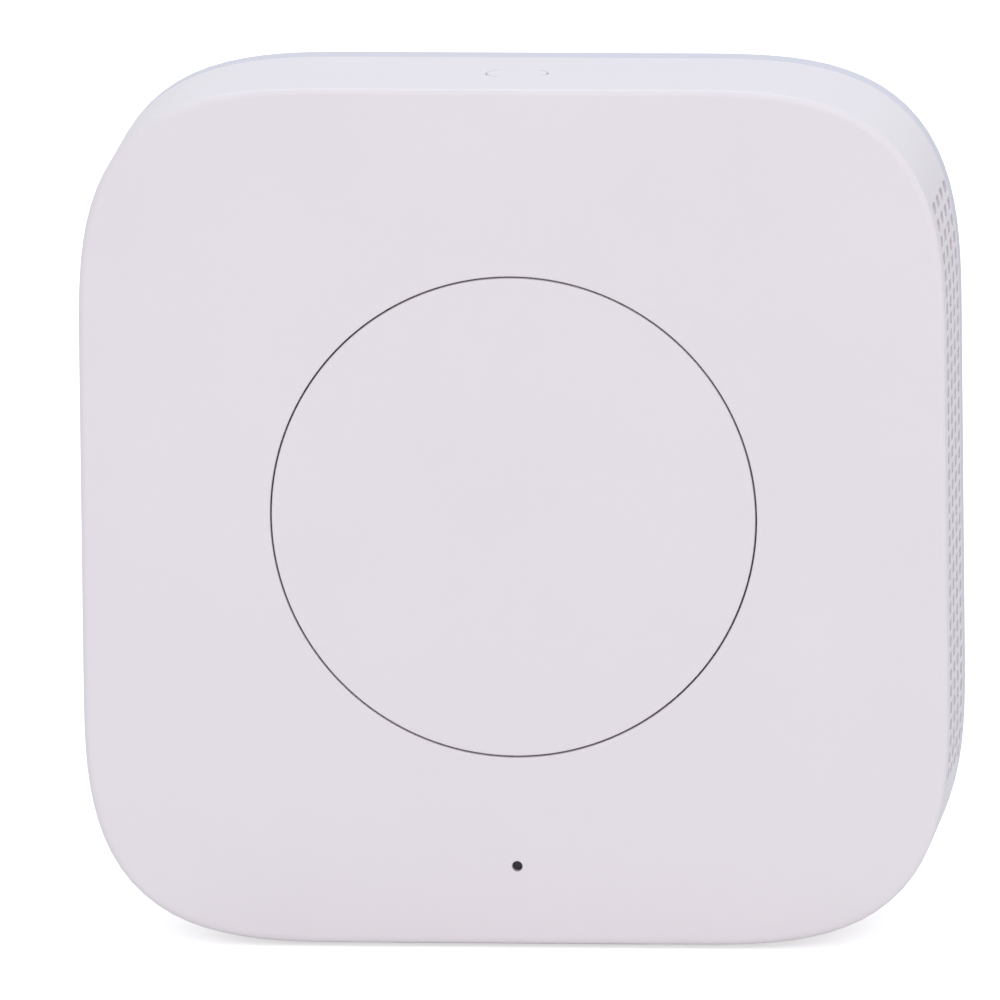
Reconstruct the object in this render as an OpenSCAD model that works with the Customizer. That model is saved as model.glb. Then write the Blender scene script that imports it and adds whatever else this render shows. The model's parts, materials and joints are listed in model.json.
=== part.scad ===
// Smart home hub: a rounded-square body that stands upright, with a large
// round push button in its face, a pairing button on top, a speaker behind a
// row of slots in its right side, and sockets in its left side.
// X runs to the right, Y runs from the face to the back, Z runs up.
// Most modules are drawn about the body's centre and lifted by upright().

/* [Body] */
// Width of the body, side to side
hub_width = 90; // [90:1:112]
// Height of the body, without its foot
hub_height = 90; // [90:1:112]
// Depth of the body, face to back
hub_depth = 22.8; // [22.8:0.2:30]
// Size of the square that each rounded corner fills
corner_size = 28; // [24:1:34]
// Squareness of the corners, where 2 is a plain arc
corner_power = 3.2; // [2:0.1:4]
// Thickness of the face
front_wall = 2; // [1.6:0.1:2.4]
// Thickness of the side walls
side_wall = 2; // [1.6:0.1:2.4]
// Bevel round the edge of the face
face_bevel = 0.45; // [0.2:0.05:1]
// Thickness of the back plate
back_wall = 2; // [1.6:0.1:2.4]
// Depth of the back cover's rim, as seen from the side
back_rim = 3.6; // [3:0.1:5]
// How far the back cover's rim leans in towards the back
back_draft = 0.05; // [0.05:0.05:0.6]
// Depth of the lip that locates the back cover in the shell
lip_depth = 1.6; // [1:0.1:2]
// Thickness of that lip
lip_wall = 1.2; // [0.8:0.1:1.6]

/* [Main button] */
// Diameter of the round main button
button_d = 50.3; // [44:0.1:52]
// Gap between the main button and the face
button_gap = 0.15; // [0.1:0.05:0.5]
// How far the main button travels when pressed
button_travel = 0.5; // [0.3:0.05:0.6]
// Thickness of the main button's cap
button_cap = 1.5; // [1.2:0.1:1.8]
// How far the main button's flange reaches past its cap
button_flange = 1.6; // [1:0.1:1.8]
// Distance from the button's centre to each return spring
spring_ring_r = 17; // [15:0.5:18]
// Number of return springs
spring_count = 3; // [3:1:4]
// Mean radius of a return spring
spring_r = 2.3; // [2:0.1:2.5]
// Wire diameter of a return spring
spring_wire = 0.4; // [0.3:0.05:0.5]
// Turns in a return spring
spring_turns = 4; // [3:0.5:5]
// Gap between the main button's flange and the bosses of its frame
frame_boss_gap = 1.4; // [1:0.1:3]

/* [Status light] */
// Diameter of the pin hole in the face
light_d = 1.1; // [0.8:0.1:2]
// How far the pin hole lies below the button's centre
light_drop = 36.8; // [33:0.1:38]
// How far the light guide's tip sits below the face
light_recess = 1; // [0.2:0.1:1.6]

/* [Pairing button] */
// Length of the pairing button, side to side
pair_length = 6.3; // [5:0.1:9]
// Width of the pairing button, front to back
pair_width = 4.6; // [3.5:0.1:5]
// Gap round the pairing button
pair_gap = 0.12; // [0.1:0.01:0.2]
// How far the pairing button travels when pressed
pair_travel = 0.4; // [0.2:0.05:0.5]
// Distance from the face to the middle of the pairing button
pair_depth = 9.7; // [9.6:0.1:11.6]

/* [Speaker] */
// Length of the speaker, along the side wall
speaker_length = 40; // [32:1:42]
// Width of the speaker, front to back
speaker_width = 14; // [12:0.5:14]
// Thickness of the speaker's basket
speaker_basket_t = 5; // [4:0.5:6]
// Thickness of the speaker's magnet
speaker_magnet_t = 3.2; // [2.5:0.1:4]
// Columns of sound slots, front to back
slot_columns = 4; // [3:1:4]
// Rows of sound slots, bottom to top
slot_rows = 35; // [20:1:35]
// Distance from one row of slots to the next
slot_pitch = 1.75; // [1.6:0.05:1.75]
// Height of a sound slot
slot_height = 1.2; // [0.8:0.1:1.3]
// Length of a sound slot, front to back
slot_length = 2.8; // [2:0.1:3.2]
// Distance from one column of slots to the next
slot_column_pitch = 4.3; // [3.8:0.1:4.3]
// Distance from the face to the start of the first column
slot_start = 2.9; // [2.6:0.1:3]
// Height of the lowest slot's bottom edge, from the body's centre
slot_low = -28.2; // [-29:0.1:-26]

/* [Sockets] */
// Width of the network jack, bottom to top
jack_width = 16; // [15:0.5:17]
// Height of the network jack above its board
jack_height = 12.9; // [11:0.1:12.9]
// Length of the network jack, into the body
jack_length = 16; // [14:0.5:16.4]
// Height of the network jack's middle, from the body's centre
jack_z = 9; // [8:0.5:12]
// Width of the power socket's shell
usb_width = 8.94; // [8.9:0.01:9]
// Height of the power socket's shell above its board
usb_height = 3.16; // [3.1:0.01:3.3]
// Length of the power socket's shell
usb_length = 7.4; // [6.5:0.1:9]
// Height of the power socket's middle, from the body's centre
usb_z = -14; // [-16:0.5:-10]

/* [Board] */
// Distance from the back plate's inner face to the main board
board_back_gap = 4.2; // [4.2:0.1:5]
// Thickness of the main board
board_t = 1.2; // [1:0.1:1.6]
// Gap between the main board's edge and the shell's outer face
board_inset = 3; // [2.6:0.1:4]

/* [Back] */
// Distance from the outer faces to each case screw
post_inset = 13.5; // [12:0.5:14.5]
// Radius of the posts that take the case screws
post_r = 3.2; // [2.8:0.1:3.6]
// Shank diameter of a case screw
case_screw_d = 2.5; // [2:0.1:3]
// Distance between the two wall keyholes
keyhole_spacing = 50; // [40:1:50]
// Height of the keyholes' round entries, from the body's centre
keyhole_z = 2; // [0:0.5:4]
// Diameter of a keyhole's round entry
keyhole_d = 7.6; // [7:0.1:8.4]
// Width of a keyhole's slot
keyhole_slot = 4.2; // [3.6:0.1:4.4]
// How far a keyhole's slot rises above its round entry
keyhole_rise = 8; // [6:0.5:9]
// Diameter of the rubber pads on the back
pad_d = 9; // [8:0.5:11]
// Thickness of the rubber pads
pad_t = 1; // [0.6:0.1:1.2]
// Width of the blank label plate
label_width = 36; // [20:1:40]
// Height of the blank label plate
label_height = 20; // [10:1:22]
// Thickness of the label plate
label_t = 0.3; // [0.2:0.05:0.5]

/* [Foot] */
// Length of the rubber foot, side to side
foot_length = 40; // [30:1:46]
// Width of the rubber foot, front to back
foot_width = 14.6; // [10:0.2:14.6]
// How far the foot stands out below the body
foot_stand = 0.5; // [0.3:0.1:0.8]
// Thickness of the rubber foot
foot_t = 1.2; // [1:0.1:1.4]

/* [Hidden] */
$fn = 48;

// Segments in each rounded corner of the outline
corner_steps = 14;
// Overlap that makes cuts and joins clean
eps = 0.01;
// Clearance of parts that slide, or sit, in one another
slide_gap = 0.1;
// Clearance kept between parts of different bodies over their travel
free_gap = 0.3;

half_w = hub_width / 2;
half_h = hub_height / 2;
center_z = half_h + foot_stand;
y_face = -hub_depth / 2;
y_back = hub_depth / 2;
y_front_in = y_face + front_wall;
y_back_in = y_back - back_wall;
y_split = y_back - back_rim;

// Main board, and the front face that its components stand on
y_board_back = y_back_in - board_back_gap;
y_board = y_board_back - board_t;

// Case posts, one near each corner
post_x = half_w - post_inset;
post_z = half_h - post_inset;
post_places = [for (sx = [-1, 1], sz = [-1, 1]) [sx * post_x, sz * post_z]];
boss_r = post_r + 0.5;
screw_head_r = case_screw_d * 0.92;
screw_head_t = 1.8;
screw_seat_wall = 1.2;
screw_length = 9;
y_screw_seat = y_board_back + screw_seat_wall;

// Main button, from its cap back to its switch
button_r = button_d / 2;
button_hole_r = button_r + button_gap;
flange_r = button_r + button_flange;
flange_t = 0.8;
skirt_t = 1.4;
y_cap_back = y_face + button_cap;
y_flange = y_front_in + free_gap;
y_flange_back = y_flange + flange_t;
y_frame = y_flange_back + button_travel + free_gap;
frame_t = 1.2;
y_frame_back = y_frame + frame_t;
frame_r = flange_r + 0.4;
frame_hole_r = 6;
cup_r = spring_r + spring_wire + 1;
cup_wall = 0.8;
cup_depth = 2.5;
y_cup_floor = y_frame + cup_depth;
frame_boss_r = 2.5;
small_screw_r = 1;
small_head_r = 1.9;
small_head_t = 1.3;
frame_screw_bite = 2.7;
ear_r = small_head_r + 1.3;
frame_screw_ring_r = flange_r + frame_boss_gap + frame_boss_r;
frame_screw_places = [for (a = [45:90:315]) frame_screw_ring_r * [cos(a), sin(a)]];
spring_places = [for (i = [0:spring_count - 1]) spring_ring_r * [
    cos(90 + 360 * i / spring_count), sin(90 + 360 * i / spring_count)
]];

// Button board and the switch under the main button
button_board_r = spring_ring_r - cup_r - cup_wall - 0.4;
button_board_t = 1;
y_button_board = y_frame_back + 1.7;
y_button_board_back = y_button_board + button_board_t;
button_board_screw_x = 9.5;
switch_size = 6;
switch_t = 3.2;
y_switch = y_button_board - switch_t;
plunger_r = 1.7;
plunger_stand = 1;
plunger_sunk = 0.9;
plunger_well = plunger_sunk + button_travel + free_gap;
post_stub_r = 2.5;

// Status light below the button
guide_r = 1.5;
guide_tip_r = light_d / 2 - 0.05;
led_t = 0.7;
y_led = y_board - led_t;

// Pairing button and its switch
y_pair = y_face + pair_depth;
z_top_in = half_h - side_wall;
pair_flange = 0.8;
pair_flange_t = 0.8;
z_pair_flange = z_top_in - free_gap;
z_pair_stem = z_pair_flange - pair_flange_t - 2.6;
pair_switch_t = 4.2;
pair_switch_h = 4;
pair_switch_w = 6;
pair_plunger_r = 1;
pair_plunger_stand = 1;
pair_plunger_sunk = 0.9;
y_pair_plunger = y_board - pair_switch_t / 2 - 0.5;
z_pair_switch = z_pair_stem - pair_plunger_stand;
pair_plunger_well = pair_plunger_sunk + pair_travel + free_gap;

// Speaker, behind the slots in the right side
x_in = half_w - side_wall;
slot_span = (slot_columns - 1) * slot_column_pitch + slot_length;
y_speaker = y_face + slot_start + slot_span / 2 - 0.5;
cloth_t = 0.3;
cloth_gap = 0.05;
gasket_t = 2.2;
x_gasket = x_in - cloth_gap - cloth_t - slide_gap - gasket_t;
x_basket = x_gasket - speaker_basket_t;
x_magnet = x_basket - speaker_magnet_t;
cone_length = speaker_length - 4;
cone_width = speaker_width - 3.4;
magnet_length = 24;
magnet_width = 9;
slot_top = slot_low + (slot_rows - 1) * slot_pitch + slot_height;
grille_margin = 1.2;
rib_t = 1;
rib_gap = 0.3;

// Sockets in the left side
socket_sink = 0.5;
socket_clearance = 0.1;
jack_mouth_w = 11.9;
jack_mouth_h = 6.9;
jack_mouth_deep = 12.5;
jack_mouth_up = 3;
latch_w = 6;
latch_h = 1.6;
contact_count = 8;
contact_pitch = 1.02;
x_jack = -half_w + socket_sink;
x_usb = -half_w + 0.3;
usb_shell = 0.3;
y_jack = y_board - jack_height;
y_usb = y_board - usb_height / 2;

// Parts on the main board: left edge, right edge, bottom, top
processor_area = [-16, -4, 13, 25];
memory_area = [-2, 6, 14, 24];
shield_area = [-19, 9, 10, 29];
pad_area = [-12, 2, 12.5, 26.5];
spreader_area = [-20, 10, 7, 32];
radio_area = [-26, -8, -33, -20];
radio_shield_area = [-25, -13, -32, -21];
crystal_area = [12, 15.2, 20, 22.5];
inductor_area = [-33, -28, -17, -12];
processor_t = 1.2;
memory_t = 1;
shield_height = 2.4;
shield_wall = 0.25;
thermal_pad_t = 0.8;
spreader_t = 1.2;
radio_board_t = 0.8;
radio_shield_t = 1.8;
crystal_t = 0.8;
inductor_t = 3;
capacitor_r = 2.5;
capacitor_h = 5.5;
capacitor_places = [[11, -10], [17.5, -10]];

// Ribbon between the button board and the main board
ribbon_width = 6;
ribbon_t = 0.3;
ribbon_socket = [8, 1.4, 2.6];
z_ribbon_front = -7;
z_ribbon_rear = -19;
y_ribbon_front = y_button_board_back + ribbon_socket[1] / 2;
y_ribbon_rear = y_board - ribbon_socket[1] / 2;
z_ribbon_start = z_ribbon_front - ribbon_socket[2] / 2 + 0.8;
z_ribbon_end = z_ribbon_rear + ribbon_socket[2] / 2 - 0.8;
ribbon_steps = 14;

// Antenna on the floor of the shell, and its lead to the radio module
patch_length = 28;
patch_width = 7;
patch_t = 0.3;
lead_r = 0.55;
plug_r = 1.25;
plug_height = 1.9;
plug_place = [-10.5, -30];
y_plug = y_board - radio_board_t - plug_height;
z_floor = -half_h + side_wall;
antenna_lead_route = [
    [-12, y_front_in + 5.4, z_floor + 0.9],
    [-12.3, y_front_in + 6, z_floor + 2],
    [-12.2, y_front_in + 7.8, -38],
    [-11.5, y_plug - 0.7, -34],
    [-10.8, y_plug + 0.2, -31.6],
    [-10.5, y_plug + 0.5, -30]
];

// Speaker leads, from the basket's rear face to their socket
wire_r = 0.45;
wire_pitch = 1.8;
wire_socket = [7, 2.6, 6];
x_wire_socket = x_basket - 15.4;
z_wire_socket = -28;
speaker_lead_route = [
    [x_basket - 0.12, y_speaker - 2, -16.4],
    [x_basket - 2, y_speaker - 2.1, -16.9],
    [x_basket - 4.5, y_speaker - 1.8, -18.6],
    [x_basket - 7, y_speaker - 0.8, -20.8],
    [x_wire_socket + 6.2, y_board - wire_socket[1] - 1.6, -23],
    [x_wire_socket + 4.2, y_board - wire_socket[1] - 0.4, -24.9],
    [x_wire_socket + 3.2, y_board - wire_socket[1] + 0.1, -25.6]
];

// Keyhole pockets inside the back cover
pocket_wall = 0.8;
pocket_r = keyhole_d / 2 + 0.4;
pocket_floor_gap = 0.5;
y_pocket = y_board_back + pocket_floor_gap;

y_foot = y_face + 2.7 + foot_width / 2;
label_z = -20;

// One quarter-turn of the corner curve, a from 0 to 90 degrees
function corner_curve(a) = [
    pow(cos(a), 2 / corner_power),
    pow(sin(a), 2 / corner_power)
];

// Outline of the body, moved in from its outer face by inset
function outline_points(inset) = [
    for (q = [0:3], i = [0:corner_steps])
        let (
            sx = q == 0 || q == 3 ? 1 : -1,
            sz = q < 2 ? 1 : -1,
            a = 90 * (q % 2 == 0 ? i : corner_steps - i) / corner_steps,
            r = corner_size - inset,
            c = corner_curve(a)
        )
        [sx * (half_w - corner_size + r * c[0]), sz * (half_h - corner_size + r * c[1])]
];

module upright() {
    translate([0, 0, center_z]) children();
}

// Extrudes a shape drawn in X and Z from y0 back to y1
module along_y(y0, y1) {
    translate([0, y1, 0]) rotate([90, 0, 0]) linear_extrude(height = y1 - y0) children();
}

module block(y0, y1, inset) {
    along_y(y0, y1) polygon(outline_points(inset));
}

module rod_y(place, r, y0, y1) {
    translate([place[0], y0, place[1]]) rotate([-90, 0, 0]) cylinder(r = r, h = y1 - y0);
}

module rod_z(x, y, r, z0, z1) {
    translate([x, y, z0]) cylinder(r = r, h = z1 - z0);
}

module box(x0, x1, y0, y1, z0, z1) {
    translate([x0, y0, z0]) cube([x1 - x0, y1 - y0, z1 - z0]);
}

// A part on the main board: area is left, right, bottom, top
module on_board(area, y0, y1) {
    box(area[0], area[1], y0, y1, area[2], area[3]);
}

// A flat oblong with round ends, its length along X
module oblong(length, width) {
    square([length - width, width], center = true);
    for (s = [-1, 1]) translate([s * (length - width) / 2, 0]) circle(d = width);
}

// The same oblong standing along Z, extruded along X from x0 to x1
module oblong_x(x0, x1, y, z, length, width) {
    translate([x0, y, z]) rotate([0, 90, 0]) linear_extrude(height = x1 - x0) oblong(length, width);
}

function unit(v) = v / norm(v);
function heading(p, i) = unit(p[min(i + 1, len(p) - 1)] - p[max(i - 1, 0)]);
function ring_points(p, i, r, sides, side_axis) =
    let (t = heading(p, i), u = unit(cross(t, side_axis)), v = cross(t, u))
    [for (k = [0:sides - 1]) p[i] + r * cos(360 * k / sides) * u + r * sin(360 * k / sides) * v];

// A round wire that follows a route
module wire(route, r, sides, side_axis) {
    last = len(route) - 1;
    points = [for (i = [0:last]) each ring_points(route, i, r, sides, side_axis)];
    skin = [
        for (i = [0:last - 1], k = [0:sides - 1])
            let (
                k1 = (k + 1) % sides,
                a = i * sides + k,
                b = i * sides + k1,
                c = (i + 1) * sides + k1,
                d = (i + 1) * sides + k
            )
            each [[a, d, c], [a, c, b]]
    ];
    start_cap = [for (k = [0:sides - 1]) k];
    end_cap = [for (k = [sides - 1:-1:0]) last * sides + k];
    polyhedron(points = points, faces = concat([start_cap], skin, [end_cap]));
}

function coil_route(place, y0, y1, r, turns, steps) = [
    for (i = [0:turns * steps])
        [
            place[0] + r * cos(360 * i / steps),
            y0 + (y1 - y0) * i / (turns * steps),
            place[1] + r * sin(360 * i / steps)
        ]
];

module small_screw(place, y_seat, length) {
    rod_y(place, small_screw_r, y_seat - length, y_seat + eps);
    difference() {
        rod_y(place, small_head_r, y_seat, y_seat + small_head_t);
        screw_cross(place, y_seat + small_head_t, small_head_r * 1.2, 0.35, 0.6);
    }
}

// A cross recess sunk into a screw head
module screw_cross(place, y_top, length, width, sunk) {
    for (turn = [0, 90])
        translate([place[0], y_top - sunk, place[1]]) rotate([0, turn, 0])
            translate([-length / 2, 0, -width / 2]) cube([length, sunk + eps, width]);
}

// ---- Shell ----

module shell_body() {
    hull() {
        block(y_face, y_face + eps, face_bevel);
        block(y_face + face_bevel, y_split, 0);
    }
}

module shell_posts() {
    for (p = post_places) rod_y(p, post_r, y_front_in - eps, y_board);
    for (p = frame_screw_places) rod_y(p, frame_boss_r, y_front_in - eps, y_frame);
    rod_y([0, -light_drop], guide_r + 0.9, y_front_in - eps, y_front_in + 4);
    for (s = [-1, 1])
        translate([0, 0, s * (speaker_length / 2 + rib_gap + rib_t / 2)])
            box(x_basket, x_gasket + gasket_t - 0.4, y_front_in - eps, y_speaker + 2,
                -rib_t / 2, rib_t / 2);
}

module sound_slots() {
    for (column = [0:slot_columns - 1]) {
        y0 = y_face + slot_start + column * slot_column_pitch;
        for (row = [0:slot_rows - 1]) {
            z0 = slot_low + row * slot_pitch;
            box(x_in - side_wall, half_w + 1, y0, y0 + slot_length, z0, z0 + slot_height);
        }
    }
}

module front_shell() {
    color([0.87, 0.85, 0.87])
    upright()
    difference() {
        union() {
            difference() {
                shell_body();
                block(y_front_in, y_split + 1, side_wall);
                sound_slots();
            }
            shell_posts();
        }
        rod_y([0, 0], button_hole_r, y_face - 1, y_front_in + 1);
        for (p = post_places) rod_y(p, case_screw_d / 2 + 0.02, y_screw_seat - screw_length - 1, y_board + 1);
        for (p = frame_screw_places)
            rod_y(p, small_screw_r + 0.02, y_frame - frame_screw_bite - 0.2, y_frame + 1);
        rod_y([0, -light_drop], light_d / 2, y_face - 1, y_front_in + 1);
        rod_y([0, -light_drop], guide_r + 0.05, y_front_in, y_front_in + 5);
        translate([0, y_pair, z_top_in - 1]) linear_extrude(height = side_wall + 2)
            oblong(pair_length + 2 * pair_gap, pair_width + 2 * pair_gap);
        box(-half_w - 1, -x_in + 1, y_jack - socket_clearance, y_board + socket_clearance,
            jack_z - jack_width / 2 - socket_clearance, jack_z + jack_width / 2 + socket_clearance);
        oblong_x(-half_w - 1, -x_in + 1, y_usb, usb_z, usb_width + 0.4, usb_height + 0.4);
        translate([0, y_foot, -half_h - 1]) linear_extrude(height = 1 + foot_t - foot_stand)
            oblong(foot_length + 2 * slide_gap, foot_width + 2 * slide_gap);
    }
}

module speaker_zone(margin) {
    box(x_in - 6, half_w + 1, y_face, y_back_in - margin, slot_low - grille_margin, slot_top + grille_margin);
}

module grille_cloth() {
    color([0.45, 0.45, 0.47])
    upright()
    intersection() {
        difference() {
            block(y_front_in + 0.3, y_split - 0.1, side_wall + cloth_gap);
            block(y_front_in - 1, y_split + 1, side_wall + cloth_gap + cloth_t);
        }
        speaker_zone(0);
    }
}

// ---- Main button ----

module main_button() {
    color([0.87, 0.85, 0.87])
    upright() {
        translate([0, y_face, 0]) rotate([-90, 0, 0]) rotate_extrude($fn = 96)
            polygon([
                [0, 0],
                [button_r - 0.15, 0],
                [button_r, 0.15],
                [button_r, y_flange - y_face],
                [flange_r, y_flange - y_face],
                [flange_r, y_flange_back - y_face],
                [button_r - skirt_t, y_flange_back - y_face],
                [button_r - skirt_t, button_cap],
                [0, button_cap]
            ]);
        rod_y([0, 0], post_stub_r, y_cap_back - eps, y_switch - plunger_stand);
        for (p = spring_places) rod_y(p, spring_r - spring_wire - 0.15, y_cap_back - eps, y_cap_back + 1.4);
    }
}

module button_frame() {
    color([0.75, 0.75, 0.76])
    upright()
    difference() {
        union() {
            rod_y([0, 0], frame_r, y_frame, y_frame_back);
            for (p = frame_screw_places) {
                rod_y(p, ear_r, y_frame, y_frame_back);
                rod_y(p * 0.92, ear_r, y_frame, y_frame_back);
            }
            for (p = spring_places) rod_y(p, cup_r + cup_wall, y_frame, y_cup_floor + cup_wall);
            for (s = [-1, 1])
                rod_y([s * button_board_screw_x, 0], 2.2, y_frame, y_button_board);
        }
        rod_y([0, 0], frame_hole_r, y_frame - 1, y_frame_back + 1);
        for (p = frame_screw_places) rod_y(p, small_screw_r + 0.1, y_frame - 1, y_frame_back + 1);
        for (p = spring_places) rod_y(p, cup_r, y_frame - 1, y_cup_floor);
        for (s = [-1, 1])
            rod_y([s * button_board_screw_x, 0], small_screw_r + 0.02, y_frame - 1, y_button_board + 1);
    }
}

module frame_screws() {
    color([0.7, 0.7, 0.72])
    upright()
    for (p = frame_screw_places) small_screw(p, y_frame_back, frame_t + frame_screw_bite);
}

module button_springs() {
    color([0.75, 0.75, 0.78])
    upright()
    for (p = spring_places)
        wire(
            coil_route(p, y_cap_back + spring_wire / 2, y_cup_floor - spring_wire / 2,
                spring_r, spring_turns, 10),
            spring_wire / 2, 6, [0, 1, 0]
        );
}

module button_board() {
    color([0.1, 0.3, 0.18])
    upright()
    difference() {
        rod_y([0, 0], button_board_r, y_button_board, y_button_board_back);
        for (s = [-1, 1])
            rod_y([s * button_board_screw_x, 0], small_screw_r + 0.1,
                y_button_board - 1, y_button_board_back + 1);
    }
}

module button_board_screws() {
    color([0.7, 0.7, 0.72])
    upright()
    for (s = [-1, 1])
        small_screw([s * button_board_screw_x, 0], y_button_board_back, button_board_t + 2.4);
}

module main_switch_body() {
    color([0.15, 0.15, 0.16])
    upright()
    difference() {
        box(-switch_size / 2, switch_size / 2, y_switch, y_button_board, -switch_size / 2, switch_size / 2);
        rod_y([0, 0], plunger_r + slide_gap, y_switch - 1, y_switch + plunger_well);
    }
}

module main_switch_plunger() {
    color([0.85, 0.75, 0.4])
    upright() rod_y([0, 0], plunger_r, y_switch - plunger_stand, y_switch + plunger_sunk);
}

module ribbon_sockets() {
    color([0.9, 0.9, 0.86])
    upright()
    for (end = [[y_button_board_back, z_ribbon_front, -1], [y_board - ribbon_socket[1], z_ribbon_rear, 1]])
        difference() {
            box(-ribbon_socket[0] / 2, ribbon_socket[0] / 2, end[0], end[0] + ribbon_socket[1],
                end[1] - ribbon_socket[2] / 2, end[1] + ribbon_socket[2] / 2);
            translate([0, end[0] + ribbon_socket[1] / 2, end[1] + end[2] * ribbon_socket[2] / 2])
                cube([ribbon_width + 0.2, ribbon_t + 0.4, 2], center = true);
        }
}

// Middle line of the ribbon in Y and Z: straight down with one smooth S
function ribbon_middle(t) = [
    y_ribbon_front + (y_ribbon_rear - y_ribbon_front) * (1 - cos(180 * t)) / 2,
    z_ribbon_start + (z_ribbon_end - z_ribbon_start) * t
];
function ribbon_normal(t) =
    let (step = ribbon_middle(t + 0.01) - ribbon_middle(t - 0.01))
    unit([step[1], -step[0]]);
function ribbon_side(t, s) = ribbon_middle(t) + s * ribbon_t / 2 * ribbon_normal(t);

module button_ribbon() {
    color([0.85, 0.85, 0.8])
    upright()
    translate([-ribbon_width / 2, 0, 0]) rotate([90, 0, 90]) linear_extrude(height = ribbon_width)
        polygon(concat(
            [for (i = [0:ribbon_steps]) ribbon_side(i / ribbon_steps, 1)],
            [for (i = [ribbon_steps:-1:0]) ribbon_side(i / ribbon_steps, -1)]
        ));
}

// ---- Main board and its components ----

module main_board() {
    speaker_room = speaker_length / 2 + 2.5;
    color([0.08, 0.28, 0.16])
    upright()
    difference() {
        block(y_board, y_board_back, board_inset);
        box(x_magnet - 1.5, half_w, y_board - 1, y_board_back + 1, -speaker_room, speaker_room);
        for (p = post_places) rod_y(p, case_screw_d / 2 + 0.3, y_board - 1, y_board_back + 1);
    }
}

module processor() {
    color([0.12, 0.12, 0.13])
    upright() on_board(processor_area, y_board - processor_t, y_board);
}

module memory_chip() {
    color([0.12, 0.12, 0.13])
    upright() on_board(memory_area, y_board - memory_t, y_board);
}

module processor_shield() {
    color([0.78, 0.78, 0.8])
    upright()
    difference() {
        on_board(shield_area, y_board - shield_height, y_board);
        on_board(
            shield_area + shield_wall * [1, -1, 1, -1],
            y_board - shield_height + shield_wall,
            y_board + 1
        );
    }
}

module thermal_pad() {
    color([0.55, 0.65, 0.75])
    upright() on_board(pad_area, y_board - shield_height - thermal_pad_t, y_board - shield_height);
}

module heat_spreader() {
    y_plate = y_board - shield_height - thermal_pad_t;
    color([0.8, 0.8, 0.82])
    upright() on_board(spreader_area, y_plate - spreader_t, y_plate);
}

module radio_module() {
    color([0.1, 0.25, 0.4])
    upright() on_board(radio_area, y_board - radio_board_t, y_board);
}

module radio_shield() {
    y_top = y_board - radio_board_t;
    color([0.78, 0.78, 0.8])
    upright() on_board(radio_shield_area, y_top - radio_shield_t, y_top);
}

module crystal() {
    color([0.8, 0.8, 0.8])
    upright() on_board(crystal_area, y_board - crystal_t, y_board);
}

module power_inductor() {
    color([0.25, 0.25, 0.27])
    upright()
    difference() {
        on_board(inductor_area, y_board - inductor_t, y_board);
        rod_y([(inductor_area[0] + inductor_area[1]) / 2, (inductor_area[2] + inductor_area[3]) / 2],
            1.6, y_board - inductor_t - 1, y_board - inductor_t + 0.3);
    }
}

module filter_capacitors() {
    color([0.7, 0.7, 0.75])
    upright()
    for (p = capacitor_places) {
        rod_y(p, capacitor_r, y_board - capacitor_h, y_board - 0.6);
        box(p[0] - capacitor_r, p[0] + capacitor_r, y_board - 0.61, y_board,
            p[1] - capacitor_r, p[1] + capacitor_r);
    }
}

// ---- Sockets ----

module network_jack() {
    y_mouth = y_board - jack_mouth_up - jack_mouth_h;
    color([0.2, 0.2, 0.21])
    upright()
    difference() {
        box(x_jack, x_jack + jack_length, y_jack, y_board, jack_z - jack_width / 2, jack_z + jack_width / 2);
        box(x_jack - 1, x_jack + jack_mouth_deep, y_mouth, y_mouth + jack_mouth_h,
            jack_z - jack_mouth_w / 2, jack_z + jack_mouth_w / 2);
        box(x_jack - 1, x_jack + jack_mouth_deep - 4, y_mouth + jack_mouth_h - eps,
            y_mouth + jack_mouth_h + latch_h, jack_z - latch_w / 2, jack_z + latch_w / 2);
    }
}

module network_contacts() {
    y_mouth = y_board - jack_mouth_up - jack_mouth_h;
    color([0.85, 0.7, 0.3])
    upright()
    for (i = [0:contact_count - 1]) {
        z = jack_z + (i - (contact_count - 1) / 2) * contact_pitch;
        box(x_jack + 3.5, x_jack + jack_mouth_deep, y_mouth, y_mouth + 0.4, z - 0.2, z + 0.2);
    }
}

module power_socket() {
    color([0.75, 0.75, 0.77])
    upright()
    difference() {
        oblong_x(x_usb, x_usb + usb_length, y_usb, usb_z, usb_width, usb_height);
        oblong_x(x_usb - 1, x_usb + usb_length - 1, y_usb, usb_z,
            usb_width - 2 * usb_shell, usb_height - 2 * usb_shell);
    }
}

module power_tongue() {
    color([0.1, 0.1, 0.1])
    upright()
    box(x_usb + 1, x_usb + usb_length - 1, y_usb - 0.35, y_usb + 0.35, usb_z - 3.35, usb_z + 3.35);
}

// ---- Speaker ----

module speaker_basket() {
    color([0.12, 0.12, 0.13])
    upright()
    difference() {
        box(x_basket, x_gasket, y_speaker - speaker_width / 2, y_speaker + speaker_width / 2,
            -speaker_length / 2, speaker_length / 2);
        oblong_x(x_basket + 1, x_gasket + 1, y_speaker, 0, cone_length, cone_width);
        for (s = [-1, 1])
            oblong_x(x_basket - 1, x_basket + 2, y_speaker, s * (magnet_length / 2 + 2.2), 2.4, 2);
    }
}

module speaker_magnet() {
    color([0.6, 0.6, 0.62])
    upright()
    box(x_magnet, x_basket, y_speaker - magnet_width / 2, y_speaker + magnet_width / 2,
        -magnet_length / 2, magnet_length / 2);
}

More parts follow.
